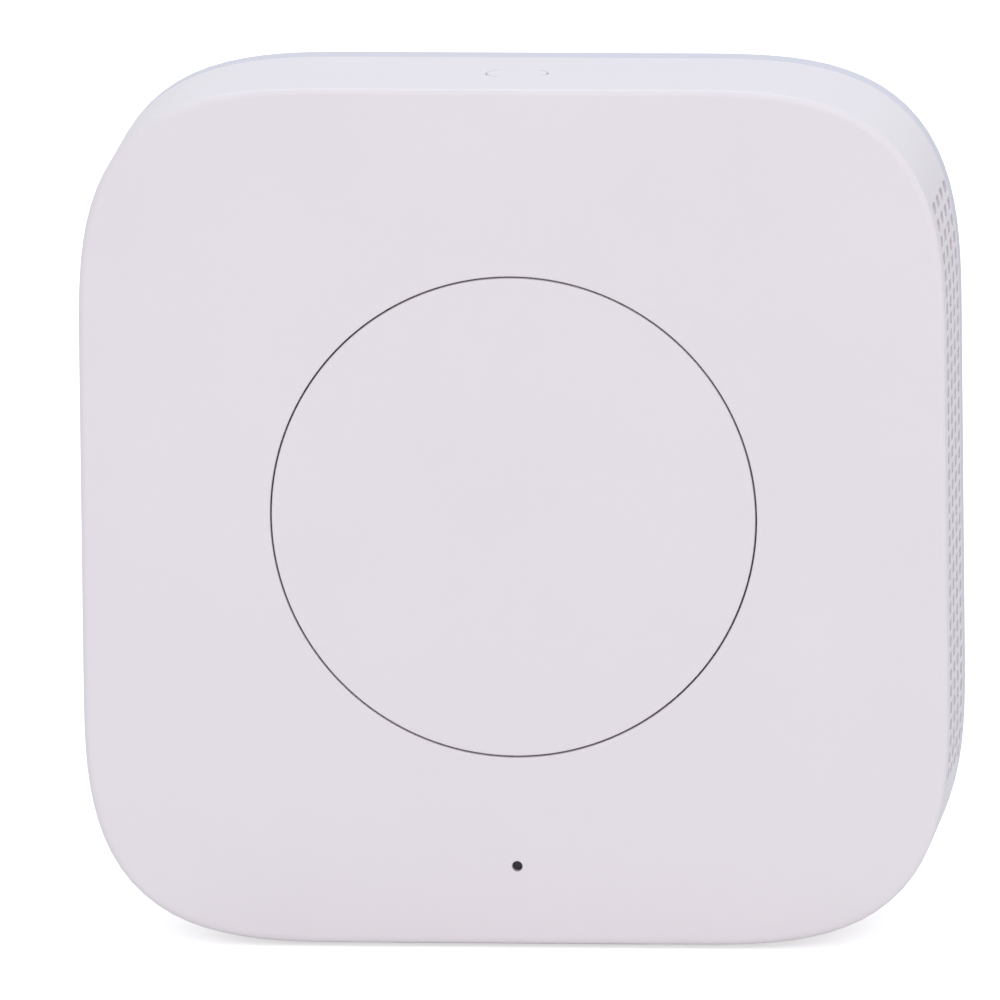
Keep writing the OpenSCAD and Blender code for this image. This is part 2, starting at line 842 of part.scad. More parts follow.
// Diaphragm: a flat surround, a raised panel and the coil former behind it
module speaker_cone() {
    x_cone = x_gasket - 1.2;
    color([0.2, 0.2, 0.2])
    upright() {
        oblong_x(x_cone, x_cone + 0.4, y_speaker, 0, cone_length - 0.1, cone_width - 0.1);
        oblong_x(x_cone + 0.39, x_cone + 1, y_speaker, 0, cone_length - 5, cone_width - 5);
        difference() {
            oblong_x(x_basket + 1.1, x_cone + 0.01, y_speaker, 0, magnet_length - 4, 5);
            oblong_x(x_basket, x_cone - 0.2, y_speaker, 0, magnet_length - 5, 4);
        }
    }
}

module speaker_gasket() {
    color([0.1, 0.1, 0.1])
    upright()
    difference() {
        box(x_gasket, x_gasket + gasket_t, y_speaker - speaker_width / 2, y_speaker + speaker_width / 2,
            -speaker_length / 2, speaker_length / 2);
        oblong_x(x_gasket - 1, x_gasket + gasket_t + 1, y_speaker, 0, cone_length, cone_width);
    }
}

module speaker_socket() {
    color([0.9, 0.9, 0.88])
    upright()
    difference() {
        box(x_wire_socket, x_wire_socket + wire_socket[0], y_board - wire_socket[1], y_board,
            z_wire_socket, z_wire_socket + wire_socket[2]);
        box(x_wire_socket + 1, x_wire_socket + wire_socket[0] - 1, y_board - wire_socket[1] - 1,
            y_board - wire_socket[1] + 0.8, z_wire_socket + 1, z_wire_socket + wire_socket[2] - 1);
    }
}

module speaker_leads() {
    for (i = [0, 1])
        color(i == 0 ? [0.7, 0.1, 0.1] : [0.1, 0.1, 0.1])
        upright()
        wire([for (p = speaker_lead_route) p + [0, 0, i * wire_pitch]], wire_r, 8, [0, 1, 0.2]);
}

// ---- Antenna ----

module antenna_patch() {
    color([0.15, 0.15, 0.16])
    upright()
    box(-patch_length / 2, patch_length / 2, y_front_in + 1.6, y_front_in + 1.6 + patch_width,
        z_floor, z_floor + patch_t);
}

module antenna_lead() {
    color([0.1, 0.1, 0.1])
    upright() {
        wire(antenna_lead_route, lead_r, 8, [1, 0, 0]);
        rod_y(plug_place, plug_r, y_plug, y_plug + plug_height);
    }
}

// ---- Status light ----

module status_led() {
    color([0.95, 0.95, 0.85])
    upright() box(-0.8, 0.8, y_led, y_board, -light_drop - 0.8, -light_drop + 0.8);
}

module light_guide() {
    color([0.35, 0.36, 0.38])
    upright() {
        rod_y([0, -light_drop], guide_tip_r, y_face + light_recess, y_front_in + eps);
        rod_y([0, -light_drop], guide_r, y_front_in, y_led - 0.1);
    }
}

// ---- Pairing button ----

module pair_button() {
    stem_half = 1.5;
    color([0.9, 0.89, 0.91])
    upright() {
        translate([0, y_pair, z_pair_flange - eps]) linear_extrude(height = half_h - z_pair_flange + eps)
            oblong(pair_length, pair_width);
        translate([0, y_pair, z_pair_flange - pair_flange_t]) linear_extrude(height = pair_flange_t)
            oblong(pair_length + 2 * pair_flange, pair_width + 2 * pair_flange);
        box(-stem_half, stem_half, y_pair - stem_half, y_pair_plunger + pair_plunger_r,
            z_pair_stem, z_pair_flange - pair_flange_t + eps);
    }
}

module pair_switch_body() {
    color([0.15, 0.15, 0.16])
    upright()
    difference() {
        box(-pair_switch_w / 2, pair_switch_w / 2, y_board - pair_switch_t, y_board,
            z_pair_switch - pair_switch_h, z_pair_switch);
        rod_z(0, y_pair_plunger, pair_plunger_r + slide_gap / 2, z_pair_switch - pair_plunger_well,
            z_pair_switch + 1);
    }
}

module pair_switch_plunger() {
    color([0.85, 0.75, 0.4])
    upright() rod_z(0, y_pair_plunger, pair_plunger_r, z_pair_switch - pair_plunger_sunk, z_pair_stem);
}

// ---- Back cover ----

// A keyhole, round at the bottom with a slot that rises from it
module keyhole(x, y0, y1) {
    rod_y([x, keyhole_z], keyhole_d / 2, y0, y1);
    box(x - keyhole_slot / 2, x + keyhole_slot / 2, y0, y1, keyhole_z, keyhole_z + keyhole_rise);
    rod_y([x, keyhole_z + keyhole_rise], keyhole_slot / 2, y0, y1);
}

// The room behind a keyhole for a screw's head, grown by wall
module keyhole_pocket(x, y0, y1, wall) {
    r = pocket_r + wall;
    rod_y([x, keyhole_z], r, y0, y1);
    rod_y([x, keyhole_z + keyhole_rise], r, y0, y1);
    box(x - r, x + r, y0, y1, keyhole_z, keyhole_z + keyhole_rise);
}

module cover_body() {
    lip_inset = side_wall + 0.15;
    difference() {
        hull() {
            block(y_split, y_split + 1, 0);
            block(y_back - eps, y_back, back_draft);
        }
        block(y_split - 1, y_back_in, lip_inset + lip_wall);
    }
    difference() {
        block(y_split - lip_depth, y_split + eps, lip_inset);
        block(y_split - lip_depth - 1, y_split + 1, lip_inset + lip_wall);
        speaker_zone(-1);
    }
}

module rear_cover() {
    color([0.85, 0.86, 0.9])
    upright()
    difference() {
        union() {
            cover_body();
            for (p = post_places) rod_y(p, boss_r, y_board_back, y_back_in + eps);
            for (s = [-1, 1]) keyhole_pocket(s * keyhole_spacing / 2, y_pocket, y_back_in + eps, pocket_wall);
        }
        for (p = post_places) {
            rod_y(p, case_screw_d / 2 + 0.1, y_board_back - 1, y_back);
            rod_y(p, screw_head_r + 0.2, y_screw_seat, y_back);
            rod_y(p, pad_d / 2 + slide_gap, y_back - pad_t, y_back + 1);
        }
        for (s = [-1, 1]) {
            keyhole(s * keyhole_spacing / 2, y_pocket + pocket_wall, y_back + 1);
            keyhole_pocket(s * keyhole_spacing / 2, y_pocket + pocket_wall, y_back_in, 0);
        }
        box(-label_width / 2 - slide_gap, label_width / 2 + slide_gap, y_back - label_t, y_back + 1,
            label_z - label_height / 2 - slide_gap, label_z + label_height / 2 + slide_gap);
    }
}

module case_screws() {
    color([0.7, 0.7, 0.72])
    upright()
    for (p = post_places) {
        rod_y(p, case_screw_d / 2, y_screw_seat - screw_length, y_screw_seat + eps);
        difference() {
            rod_y(p, screw_head_r, y_screw_seat, y_screw_seat + screw_head_t);
            screw_cross(p, y_screw_seat + screw_head_t, screw_head_r * 1.2, 0.5, 0.9);
        }
    }
}

module rear_pads() {
    color([0.3, 0.3, 0.31])
    upright()
    for (p = post_places) rod_y(p, pad_d / 2, y_back - pad_t, y_back);
}

module label_plate() {
    color([0.8, 0.8, 0.81])
    upright()
    box(-label_width / 2, label_width / 2, y_back - label_t, y_back,
        label_z - label_height / 2, label_z + label_height / 2);
}

module foot() {
    color([0.3, 0.3, 0.31])
    translate([0, y_foot, 0]) linear_extrude(height = foot_t) oblong(foot_length, foot_width);
}

front_shell();
main_button();
button_frame();
frame_screws();
button_springs();
button_board();
button_board_screws();
main_switch_body();
main_switch_plunger();
ribbon_sockets();
button_ribbon();
main_board();
processor();
memory_chip();
processor_shield();
thermal_pad();
heat_spreader();
radio_module();
radio_shield();
crystal();
power_inductor();
filter_capacitors();
network_jack();
network_contacts();
power_socket();
power_tongue();
speaker_basket();
speaker_magnet();
speaker_cone();
speaker_gasket();
speaker_socket();
speaker_leads();
grille_cloth();
antenna_patch();
antenna_lead();
status_led();
light_guide();
pair_button();
pair_switch_body();
pair_switch_plunger();
rear_cover();
case_screws();
rear_pads();
label_plate();
foot();
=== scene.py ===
"""Finishes the smart home hub: its moulded shell, buttons, back and sockets, the surface of every
part inside it, and a plain studio round it. Each piece is made about the body's centre, in
millimetres, and is then scaled and lifted into the frame."""

import json
import math

import bmesh
import bpy
from bpy.props import FloatProperty, FloatVectorProperty, IntProperty, PointerProperty
from bpy.types import Operator, Panel, PropertyGroup
from mathutils import Matrix, Vector


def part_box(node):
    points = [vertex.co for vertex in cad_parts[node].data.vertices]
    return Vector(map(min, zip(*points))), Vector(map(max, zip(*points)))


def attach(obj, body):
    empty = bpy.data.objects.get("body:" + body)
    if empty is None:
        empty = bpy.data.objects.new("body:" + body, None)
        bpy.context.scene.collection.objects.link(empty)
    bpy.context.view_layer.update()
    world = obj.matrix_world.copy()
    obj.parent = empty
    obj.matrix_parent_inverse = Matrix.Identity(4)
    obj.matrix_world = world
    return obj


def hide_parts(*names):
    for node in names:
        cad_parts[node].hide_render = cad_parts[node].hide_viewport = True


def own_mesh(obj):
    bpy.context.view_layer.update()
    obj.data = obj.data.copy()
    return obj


bl_info = {
    "name": "Smart Home Hub",
    "version": (1, 0, 0),
    "blender": (4, 5, 0),
    "location": "3D View > Sidebar > Hub",
    "description": "Builds the finished pieces of a smart home hub round its CAD frame",
    "category": "Object",
}

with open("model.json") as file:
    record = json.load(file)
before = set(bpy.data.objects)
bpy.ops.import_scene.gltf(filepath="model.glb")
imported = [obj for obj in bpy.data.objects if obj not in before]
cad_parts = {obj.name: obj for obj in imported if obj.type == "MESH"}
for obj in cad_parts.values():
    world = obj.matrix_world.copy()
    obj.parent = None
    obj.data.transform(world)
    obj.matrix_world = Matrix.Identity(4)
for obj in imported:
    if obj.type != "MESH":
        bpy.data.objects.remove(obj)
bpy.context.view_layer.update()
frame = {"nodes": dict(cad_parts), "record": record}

MM = 0.001
SHELL_LOW, SHELL_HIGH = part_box("front_shell")
CENTRE_Z = (SHELL_LOW.z + SHELL_HIGH.z) / 2
HALF_WIDTH = SHELL_HIGH.x / MM
Y_FACE = SHELL_LOW.y / MM
Y_SPLIT = SHELL_HIGH.y / MM
Y_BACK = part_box("rear_cover")[1].y / MM
INTO_FRAME = Matrix.Translation((0, 0, CENTRE_Z)) @ Matrix.Scale(MM, 4)
# Turns a place in the frame into millimetres about the body's centre
OUT_OF_FRAME = INTO_FRAME.inverted()
OUTLINE_SEGMENTS = 192
# Halvings in the search for a point of the body's outline
OUTLINE_SEARCH = 36
# The sizes below are in millimetres
# Clearance between the cover's lip and the shell's side walls
LIP_GAP = 0.15
# Clearance between a button's flange and the wall that the button works in
FLANGE_GAP = 0.3
# Clearance round a rubber part or the label plate in its recess
RECESS_GAP = 0.1
# Radius of the heads of the screws that hold the button's frame
FRAME_SCREW_HEAD = 1.9
# The posts for those screws: radius, radius of the pilot hole and its depth
FRAME_POST, FRAME_PILOT, FRAME_PILOT_DEPTH = 2.5, 1.02, 1.6
# A case screw's pilot hole in the shell's posts: radius and depth
CASE_PILOT, CASE_PILOT_DEPTH = 1.27, 8.2
# Radius of the way through the back cover for a case screw's shank and head
CASE_SCREW_HOLE, CASE_SCREW_HEAD_HOLE = 1.35, 2.5
# Height of a case screw's head
CASE_SCREW_HEAD_HEIGHT = 1.8
# Height of the keyholes' round entries above the body's centre
KEYHOLE_RISE_FROM_CENTRE = 2
# How far a post, a rib or a boss reaches into the wall that it stands on
SUNK = 0.02
# How far a cutter reaches past the surface that it is cut into
OVER = 0.5
# Width of the narrow flat band beside a rounded edge, which keeps its shading off the face
BAND = 0.15


def length(name, description, millimetres):
    """A size that a user may change, given in millimetres."""
    return FloatProperty(
        name=name,
        description=description,
        default=millimetres * MM,
        min=0.0,
        precision=5,
        unit="LENGTH",
        subtype="DISTANCE",
    )


def colour(name, description, red, green, blue):
    """A colour that a user may change, in linear light."""
    return FloatVectorProperty(
        name=name,
        description=description,
        default=(red, green, blue, 1.0),
        size=4,
        min=0.0,
        max=1.0,
        subtype="COLOR",
    )


class HubBody(PropertyGroup):
    """Sizes of the shell and the back cover."""

    corner: length("Corner", "Square that each rounded corner fills", 28)
    power: FloatProperty(
        name="Corner Power", description="Squareness of the corners; 2 is an arc", default=3.2
    )
    wall: length("Wall", "Thickness of the face and the side walls", 2)
    face_fillet: length("Face Fillet", "How far the rounded edge of the face runs back", 0.45)
    face_roll: length("Face Roll", "How far that rounding reaches into the face", 0.7)
    back_fillet: length("Back Fillet", "Rounding round the edge of the back", 0.3)
    seam: length("Seam", "Bevel on each side of the seam between shell and cover", 0.05)
    back_draft: length("Draft", "How far the cover leans in towards the back", 0.05)
    post_inset: length("Post Inset", "Distance from the outer faces to each case post", 13.5)
    post_radius: length("Post Radius", "Radius of the posts that take the case screws", 3.2)
    lip: length("Lip", "Depth of the lip that locates the cover in the shell", 1.6)
    lip_wall: length("Lip Wall", "Thickness of that lip", 1.2)
    keyhole_spacing: length("Keyhole Spacing", "Distance between the two wall keyholes", 50)
    keyhole: length("Keyhole", "Diameter of a keyhole's round entry", 7.6)
    keyhole_slot: length("Keyhole Slot", "Width of a keyhole's slot", 4.2)
    keyhole_rise: length("Keyhole Rise", "How far a keyhole's slot rises", 8)
    keyhole_lip: length("Keyhole Lip", "Rounding round a keyhole's mouth", 0.15)
    label_corner: length("Label Corner", "Rounding of the label plate's corners", 1.5)


class HubGrille(PropertyGroup):
    """Sizes of the sound slots in the right side."""

    columns: IntProperty(name="Columns", description="Columns of slots, front to back", default=4)
    rows: IntProperty(name="Rows", description="Rows of slots, bottom to top", default=35)
    start: length("Start", "Distance from the face to the first column", 2.9)
    column_pitch: length("Column Pitch", "Distance from one column to the next", 4.3)
    row_pitch: length("Row Pitch", "Distance from one row to the next", 1.75)
    slot_length: length("Slot Length", "Length of a slot, front to back", 2.8)
    slot_height: length("Slot Height", "Height of a slot", 1.2)
    slot_corner: length("Slot Corner", "Rounding of a slot's corners", 0.35)
    mouth: length("Mouth", "Bevel round a slot's mouth", 0.08)
    drop: length("Drop", "From the body's centre down to the lowest slot's edge", 28.2)


class HubControls(PropertyGroup):
    """Sizes of the two buttons and the status light."""

    button: length("Main Button", "Diameter of the round main button", 50.3)
    button_gap: length("Button Gap", "Gap between the main button and the face", 0.15)
    opening_edge: length("Opening Edge", "Rounding of each opening in the shell", 0.1)
    groove: length("Groove", "Depth of the eased edges on both sides of the button's gap", 0.3)
    cap: length("Cap", "Thickness of the main button's cap", 1.5)
    pair_length: length("Pair Length", "Length of the pairing button", 6.3)
    pair_depth: length("Pair Depth", "From the face to the middle of the pairing button", 9.7)
    pair_width: length("Pair Width", "Width of the pairing button", 4.6)
    pair_gap: length("Pair Gap", "Gap round the pairing button", 0.12)
    pin_hole: length("Pin Hole", "Diameter of the status light's hole", 1.1)
    pin_edge: length("Pin Edge", "Rounding of that hole's edge", 0.08)
    pin_drop: length("Pin Drop", "From the button's centre down to that hole", 36.8)
    cap_flange: length("Cap Flange", "Thickness of both buttons' flanges", 0.8)
    spring_ring: length("Spring Ring", "From the button's centre to each spring", 17)
    spring_coil: length("Spring Coil", "Mean radius of a spring", 2.3)
    spring_wire: length("Spring Wire", "Diameter of a spring's wire", 0.4)
    spring_turns: IntProperty(name="Turns", description="Turns in a spring", default=4)
    travel: length("Travel", "How far the main button moves when it is pressed", 0.5)


class HubColours(PropertyGroup):
    """Colours of the plastics, the cloth and the studio."""

    shell: colour("Shell", "White of the shell", 0.806, 0.746, 0.774)
    button: colour("Button", "White of the buttons", 0.806, 0.746, 0.774)
    cover: colour("Cover", "Bluer white of the back cover", 0.655, 0.645, 0.712)
    cloth: colour("Cloth", "Grey of the speaker cloth", 0.62, 0.61, 0.64)
    floor: colour("Floor", "White of the studio floor", 0.86, 0.86, 0.86)


def mm(distance):
    return distance / MM


# ---- Outlines ----


def squircle(turn, half, corner, power):
    """The point of a rounded square that lies in the direction turn from its centre. Its corners
    are squarer than arcs when power is above 2."""
    across, along = math.cos(turn), math.sin(turn)
    near, far = 0.0, 1.5 * half
    for _ in range(OUTLINE_SEARCH):
        reach = (near + far) / 2
        past_side = (abs(across) * reach - half + corner) / corner
        past_top = (abs(along) * reach - half + corner) / corner
        if past_side > 0 and past_top > 0:
            outside = past_side**power + past_top**power > 1
        else:
            outside = max(past_side, past_top) > 1
        near, far = (near, reach) if outside else (reach, far)
    return across * near, along * near


def rounded(turn, half_a, half_b, corner):
    """A point of a rounded rectangle. In each quarter of a turn, the middle half goes round the
    corner, and the rest goes along the sides."""
    quarter_turn = math.pi / 2
    across, along = math.cos(turn), math.sin(turn)
    share = math.atan2(abs(along), abs(across)) / quarter_turn
    angle = quarter_turn * min(max(2 * share - 0.5, 0.0), 1.0)
    a = (half_a - corner) * min(4 * (1 - share), 1.0) + corner * math.cos(angle)
    b = (half_b - corner) * min(4 * share, 1.0) + corner * math.sin(angle)
    return math.copysign(a, across), math.copysign(b, along)


def rim(body, inset, y):
    """The body's outline, moved in by inset, as a station of a skin."""
    half, corner = HALF_WIDTH - inset, mm(body.corner) - inset

    def place(turn):
        x, z = squircle(turn, half, corner, body.power)
        return Vector((x, y, z))

    return place


def ring(radius, y, centre=(0, 0)):
    """A circle that faces forwards, as a station of a skin."""
    return lambda turn: Vector(
        (centre[0] + radius * math.cos(turn), y, centre[1] + radius * math.sin(turn))
    )


def panel(half_x, half_z, corner, y, centre=(0, 0)):
    """A rounded rectangle that faces forwards, as a station."""

    def place(turn):
        x, z = rounded(turn, half_x, half_z, corner)
        return Vector((centre[0] + x, y, centre[1] + z))

    return place


def pad(half_x, half_y, corner, z, centre=(0, 0)):
    """A rounded rectangle that faces up, as a station."""

    def place(turn):
        x, y = rounded(turn, half_x, half_y, corner)
        return Vector((centre[0] + x, centre[1] + y, z))

    return place


def side(half_y, half_z, corner, x, centre=(0, 0)):
    """A rounded rectangle that faces sideways, as a station. x may be a number or a rule for
    the height."""

    def place(turn):
        y, z = rounded(turn, half_y, half_z, corner)
        y, z = centre[0] + y, centre[1] + z
        return Vector((x(z) if callable(x) else x, y, z))

    return place


def sized(outline, half_a, half_b, corner, centre=(0, 0)):
    """Stations of one rounded rectangle. Each is given how much it is grown, and its level."""
    return lambda grow, level: outline(half_a + grow, half_b + grow, corner + grow, level, centre)


def quarter(start, end, steps, first_along=True):
    """Points along a quarter turn from start to end. It leaves start along the first
    coordinate, or along the second."""
    points = []
    for i in range(steps + 1):
        angle = math.pi / 2 * i / steps
        early, late = math.sin(angle), 1 - math.cos(angle)
        if not first_along:
            early, late = late, early
        points.append(
            (start[0] + (end[0] - start[0]) * early, start[1] + (end[1] - start[1]) * late)
        )
    return points


# ---- Meshes ----


def new_mesh():
    bm = bmesh.new()
    bm.verts.layers.float.new("turn")
    return bm


def skin(bm, stations, segments, ends="capped", lead=0.0):
    """Extrudes a ring of edges through the stations. Its ends are capped, or joined, which
    makes the last station meet the first. Its points lead by that share of a step."""
    turn = bm.verts.layers.float["turn"]
    verts = bmesh.ops.create_circle(bm, cap_ends=False, radius=1.0, segments=segments)["verts"]
    edges = list({edge for vert in verts for edge in vert.link_edges})
    first_edges, made_verts = edges, list(verts)
    for vert in verts:
        vert[turn] = math.atan2(vert.co.y, vert.co.x) + lead * 2 * math.pi / segments
    if ends == "joined":
        stations = [*stations, stations[0]]
    for number, station in enumerate(stations):
        if number:
            made = bmesh.ops.extrude_edge_only(bm, edges=edges)["geom"]
            verts = [part for part in made if isinstance(part, bmesh.types.BMVert)]
            edges = [
                part for part in made if isinstance(part, bmesh.types.BMEdge) and part.is_boundary
            ]
            made_verts += verts
        for vert in verts:
            vert.co = station(vert[turn])
    if ends == "joined":
        bmesh.ops.remove_doubles(bm, verts=made_verts, dist=1e-4)
    else:
        for loop in (first_edges, edges):
            bmesh.ops.edgeloop_fill(bm, edges=loop)


def lathe(bm, profile, segments, centre=(0, 0)):
    """Spins a profile of (radius, y) points about an axis that runs front to back."""
    verts = [bm.verts.new((centre[0] + radius, y, centre[1])) for radius, y in profile]
    edges = [bm.edges.new(pair) for pair in zip(verts, verts[1:])]
    bmesh.ops.spin(
        bm,
        geom=verts + edges,
        cent=(centre[0], 0, centre[1]),
        axis=(0, 1, 0),
        dvec=(0, 0, 0),
        angle=2 * math.pi,
        steps=segments,
        use_merge=True,
        use_duplicate=False,
    )
    bmesh.ops.remove_doubles(bm, verts=bm.verts, dist=1e-4)


def block(bm, low, high, ease=0.0, segments=2):
    """A box between two corners, with its edges eased."""
    made = bmesh.ops.create_cube(bm, size=1.0)["verts"]
    low, high = Vector(low), Vector(high)
    size, middle = high - low, (low + high) / 2
    bmesh.ops.scale(bm, vec=size, verts=made)
    bmesh.ops.translate(bm, vec=middle, verts=made)
    if ease:
        edges = list({edge for vert in made for edge in vert.link_edges})
        bmesh.ops.bevel(
            bm,
            geom=edges,
            offset=ease,
            offset_type="OFFSET",
            affect="EDGES",
            segments=segments,
            profile=0.5,
            material=-1,
        )


def post(bm, centre, outer, inner, front, back, deep, segments=32, ease=0.1):
    """A post that runs front to back, with a blind hole in its back end."""
    profile = [
        (0.0, front),
        (outer, front),
        (outer, back - ease),
        (outer - ease, back),
        (inner + ease, back),
        (inner, back - ease),
        (inner, back - deep),
        (0.0, back - deep),
    ]
    lathe(bm, profile, segments, centre)


def tidy_mesh(bm):
    bmesh.ops.remove_doubles(bm, verts=bm.verts, dist=2e-5)
    bmesh.ops.dissolve_degenerate(bm, edges=bm.edges, dist=2e-5)
    bmesh.ops.recalc_face_normals(bm, faces=bm.faces)


def make_object(name, bm):
    """Turns a mesh made in millimetres into an object of the scene."""
    tidy_mesh(bm)
    bm.verts.layers.float.remove(bm.verts.layers.float["turn"])
    bmesh.ops.transform(bm, matrix=INTO_FRAME, verts=bm.verts)
    mesh = bpy.data.meshes.new(name)
    bm.to_mesh(mesh)
    bm.free()
    piece = bpy.data.objects.new(name, mesh)
    bpy.context.scene.collection.objects.link(piece)
    return piece


def remove(thing):
    mesh = thing.data
    bpy.data.objects.remove(thing)
    bpy.data.meshes.remove(mesh)


def cut_away(piece, cutter):
    """Takes the cutter out of a piece and then removes the cutter."""
    modifier = piece.modifiers.new("cut", "BOOLEAN")
    modifier.operation = "DIFFERENCE"
    modifier.solver = "EXACT"
    modifier.object = cutter
    graph = bpy.context.evaluated_depsgraph_get()
    result = bpy.data.meshes.new_from_object(piece.evaluated_get(graph))
    if len(result.polygons) == 0 or len(result.polygons) == len(piece.data.polygons):
        raise RuntimeError(f"nothing was cut out of {piece.name}")
    piece.modifiers.clear()
    old, piece.data = piece.data, result
    bpy.data.meshes.remove(old)
    remove(cutter)


def join(piece, extra):
    """Adds the closed parts of another object to a piece."""
    whole = bmesh.new()
    whole.from_mesh(piece.data)
    whole.from_mesh(extra.data)
    whole.to_mesh(piece.data)
    whole.free()
    remove(extra)


def shade(piece, sharp=35.0):
    """Smooth shading with creases, weighted so that flat faces stay flat."""
    piece.data.shade_smooth()
    piece.data.set_sharp_from_angle(angle=math.radians(sharp))
    weighted = piece.modifiers.new("weighted", "WEIGHTED_NORMAL")
    weighted.keep_sharp = True


def settle(piece, body, slot, node):
    """Gives a piece its finish and puts it in the place of a CAD node."""
    piece.data.materials.clear()
    piece.data.materials.append(FINISHES[slot])
    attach(piece, body)
    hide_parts(node)


def finished(name, bm, body, slot, node):
    """Makes, shades and settles a piece that needs no other step."""
    piece = make_object(name, bm)
    shade(piece)
    settle(piece, body, slot, node)


# ---- Finishes ----


def maths_step(operation, swapped=False):
    """A method that joins a signal and any others in one Math node."""

    def step(self, *others):
        values = (*others, self) if swapped else (self, *others)
        return self.nodes.maths(operation, *values)

    return step


class Signal:
    """An output socket, used in Python arithmetic."""

    def __init__(self, nodes, socket):
        self.nodes = nodes
        self.socket = socket

    __add__ = __radd__ = maths_step("ADD")
    __sub__ = maths_step("SUBTRACT")
    __rsub__ = maths_step("SUBTRACT", swapped=True)
    __mul__ = __rmul__ = maths_step("MULTIPLY")
    __gt__ = maths_step("GREATER_THAN")
    __lt__ = maths_step("LESS_THAN")
    __abs__ = maths_step("ABSOLUTE")
    sine = maths_step("SINE")
    at_least = maths_step("MAXIMUM")
    repeat = maths_step("FLOORED_MODULO")


class Nodes:
    """Adds nodes to one node tree."""

    def __init__(self, tree):
        self.tree = tree

    def node(self, kind, settings=None, inputs=None, output=0):
        """Adds a node: its settings first, then a value or a link for each named input."""
        made = self.tree.nodes.new(kind)
        for key, value in (settings or {}).items():
            setattr(made, key, value)
        for key, value in (inputs or {}).items():
            socket = self.find(made.inputs, key)
            if isinstance(value, Signal):
                self.tree.links.new(value.socket, socket)
            else:
                socket.default_value = value
        return Signal(self, self.find(made.outputs, output))

    @staticmethod
    def find(sockets, key):
        """The socket with that number, identifier or name."""
        if isinstance(key, str):
            named = [socket for socket in sockets if socket.identifier == key]
            return named[0] if named else sockets[key]
        return sockets[key]

    def maths(self, operation, *values):
        return self.node("ShaderNodeMath", {"operation": operation}, dict(enumerate(values)))

    def blend(self, mask, first, second):
        return self.node(
            "ShaderNodeMix",
            {"data_type": "RGBA", "clamp_factor": True},
            {"Factor_Float": mask, "A_Color": first, "B_Color": second},
            "Result_Color",
        )


class Finish(Nodes):
    """One material. Its patterns read the piece's own object coordinates."""

    def __init__(self, name, **constants):
        self.material = bpy.data.materials.new(name)
        self.material.use_nodes = True
        super().__init__(self.material.node_tree)
        self.shader = self.tree.nodes["Principled BSDF"]
        for key, value in constants.items():
            self.shader.inputs[key.replace("_", " ")].default_value = value

    def place(self):
        return self.node("ShaderNodeTexCoord", output="Object")

    def axes(self):
        """The three object coordinates, in millimetres."""
        split = self.node("ShaderNodeSeparateXYZ", inputs={0: self.place()}).socket.node
        return [Signal(self, socket) * (1 / MM) for socket in split.outputs]

    def stretched(self, factors):
        return self.node(
            "ShaderNodeMapping", {"vector_type": "POINT"}, {"Vector": self.place(), "Scale": factors}
        )

    def noise(self, grain, detail=2.0, roughness=0.5, factors=None):
        """Noise whose grains are about that many millimetres across."""
        where = self.stretched(factors) if factors else self.place()
        return self.node(
            "ShaderNodeTexNoise",
            None,
            {"Vector": where, "Scale": 1 / (grain * MM), "Detail": detail, "Roughness": roughness},
            "Fac",
        )

    def feed(self, socket, value):
        self.tree.links.new(value.socket, self.shader.inputs[socket])

    def colour(self, value):
        self.feed("Base Color", value)

    def roughness(self, value):
        self.feed("Roughness", value)

    def metallic(self, value):
        self.feed("Metallic", value)

    def bump(self, height, depth, strength=1.0):
        """Raises the surface by up to depth millimetres."""
        raised = self.node(
            "ShaderNodeBump",
            None,
            {"Strength": strength, "Distance": depth * MM, "Height": height},
            "Normal",
        )
        self.feed("Normal", raised)


def tinted(base, factor):
    """A colour made lighter or darker."""
    return (*[min(1.0, part * factor) for part in base[:3]], 1.0)


def moulded(name, base, roughness=0.42, grain=0.22, depth=0.004, mottling=0.02, **constants):
    """Moulded plastic or rubber: a fine eroded texture and a faint change of tone."""
    finish = Finish(name, **constants)
    fine = finish.noise(grain, detail=3.0)
    broad = finish.noise(18.0, detail=3.0)
    finish.colour(finish.blend(broad, tinted(base, 1 - mottling), tinted(base, 1 + mottling)))
    finish.roughness((fine - 0.5) * 0.18 + (broad - 0.5) * 0.08 + roughness)
    finish.bump(fine, depth)
    return finish.material


def brushed(name, base, roughness=0.3, grain=0.08, factors=(1, 0.04, 1), depth=0.003):
    """Metal with a fine grain along one axis and a few duller patches."""
    finish = Finish(name, Metallic=1.0)
    lines = finish.noise(grain, detail=3.0, factors=factors)
    patches = finish.noise(4.0, detail=4.0, roughness=0.6)
    finish.colour(finish.blend(patches, tinted(base, 0.88), tinted(base, 1.08)))
    finish.roughness((lines - 0.5) * 0.25 + (patches - 0.5) * 0.15 + roughness)
    finish.bump(lines, depth)
    return finish.material


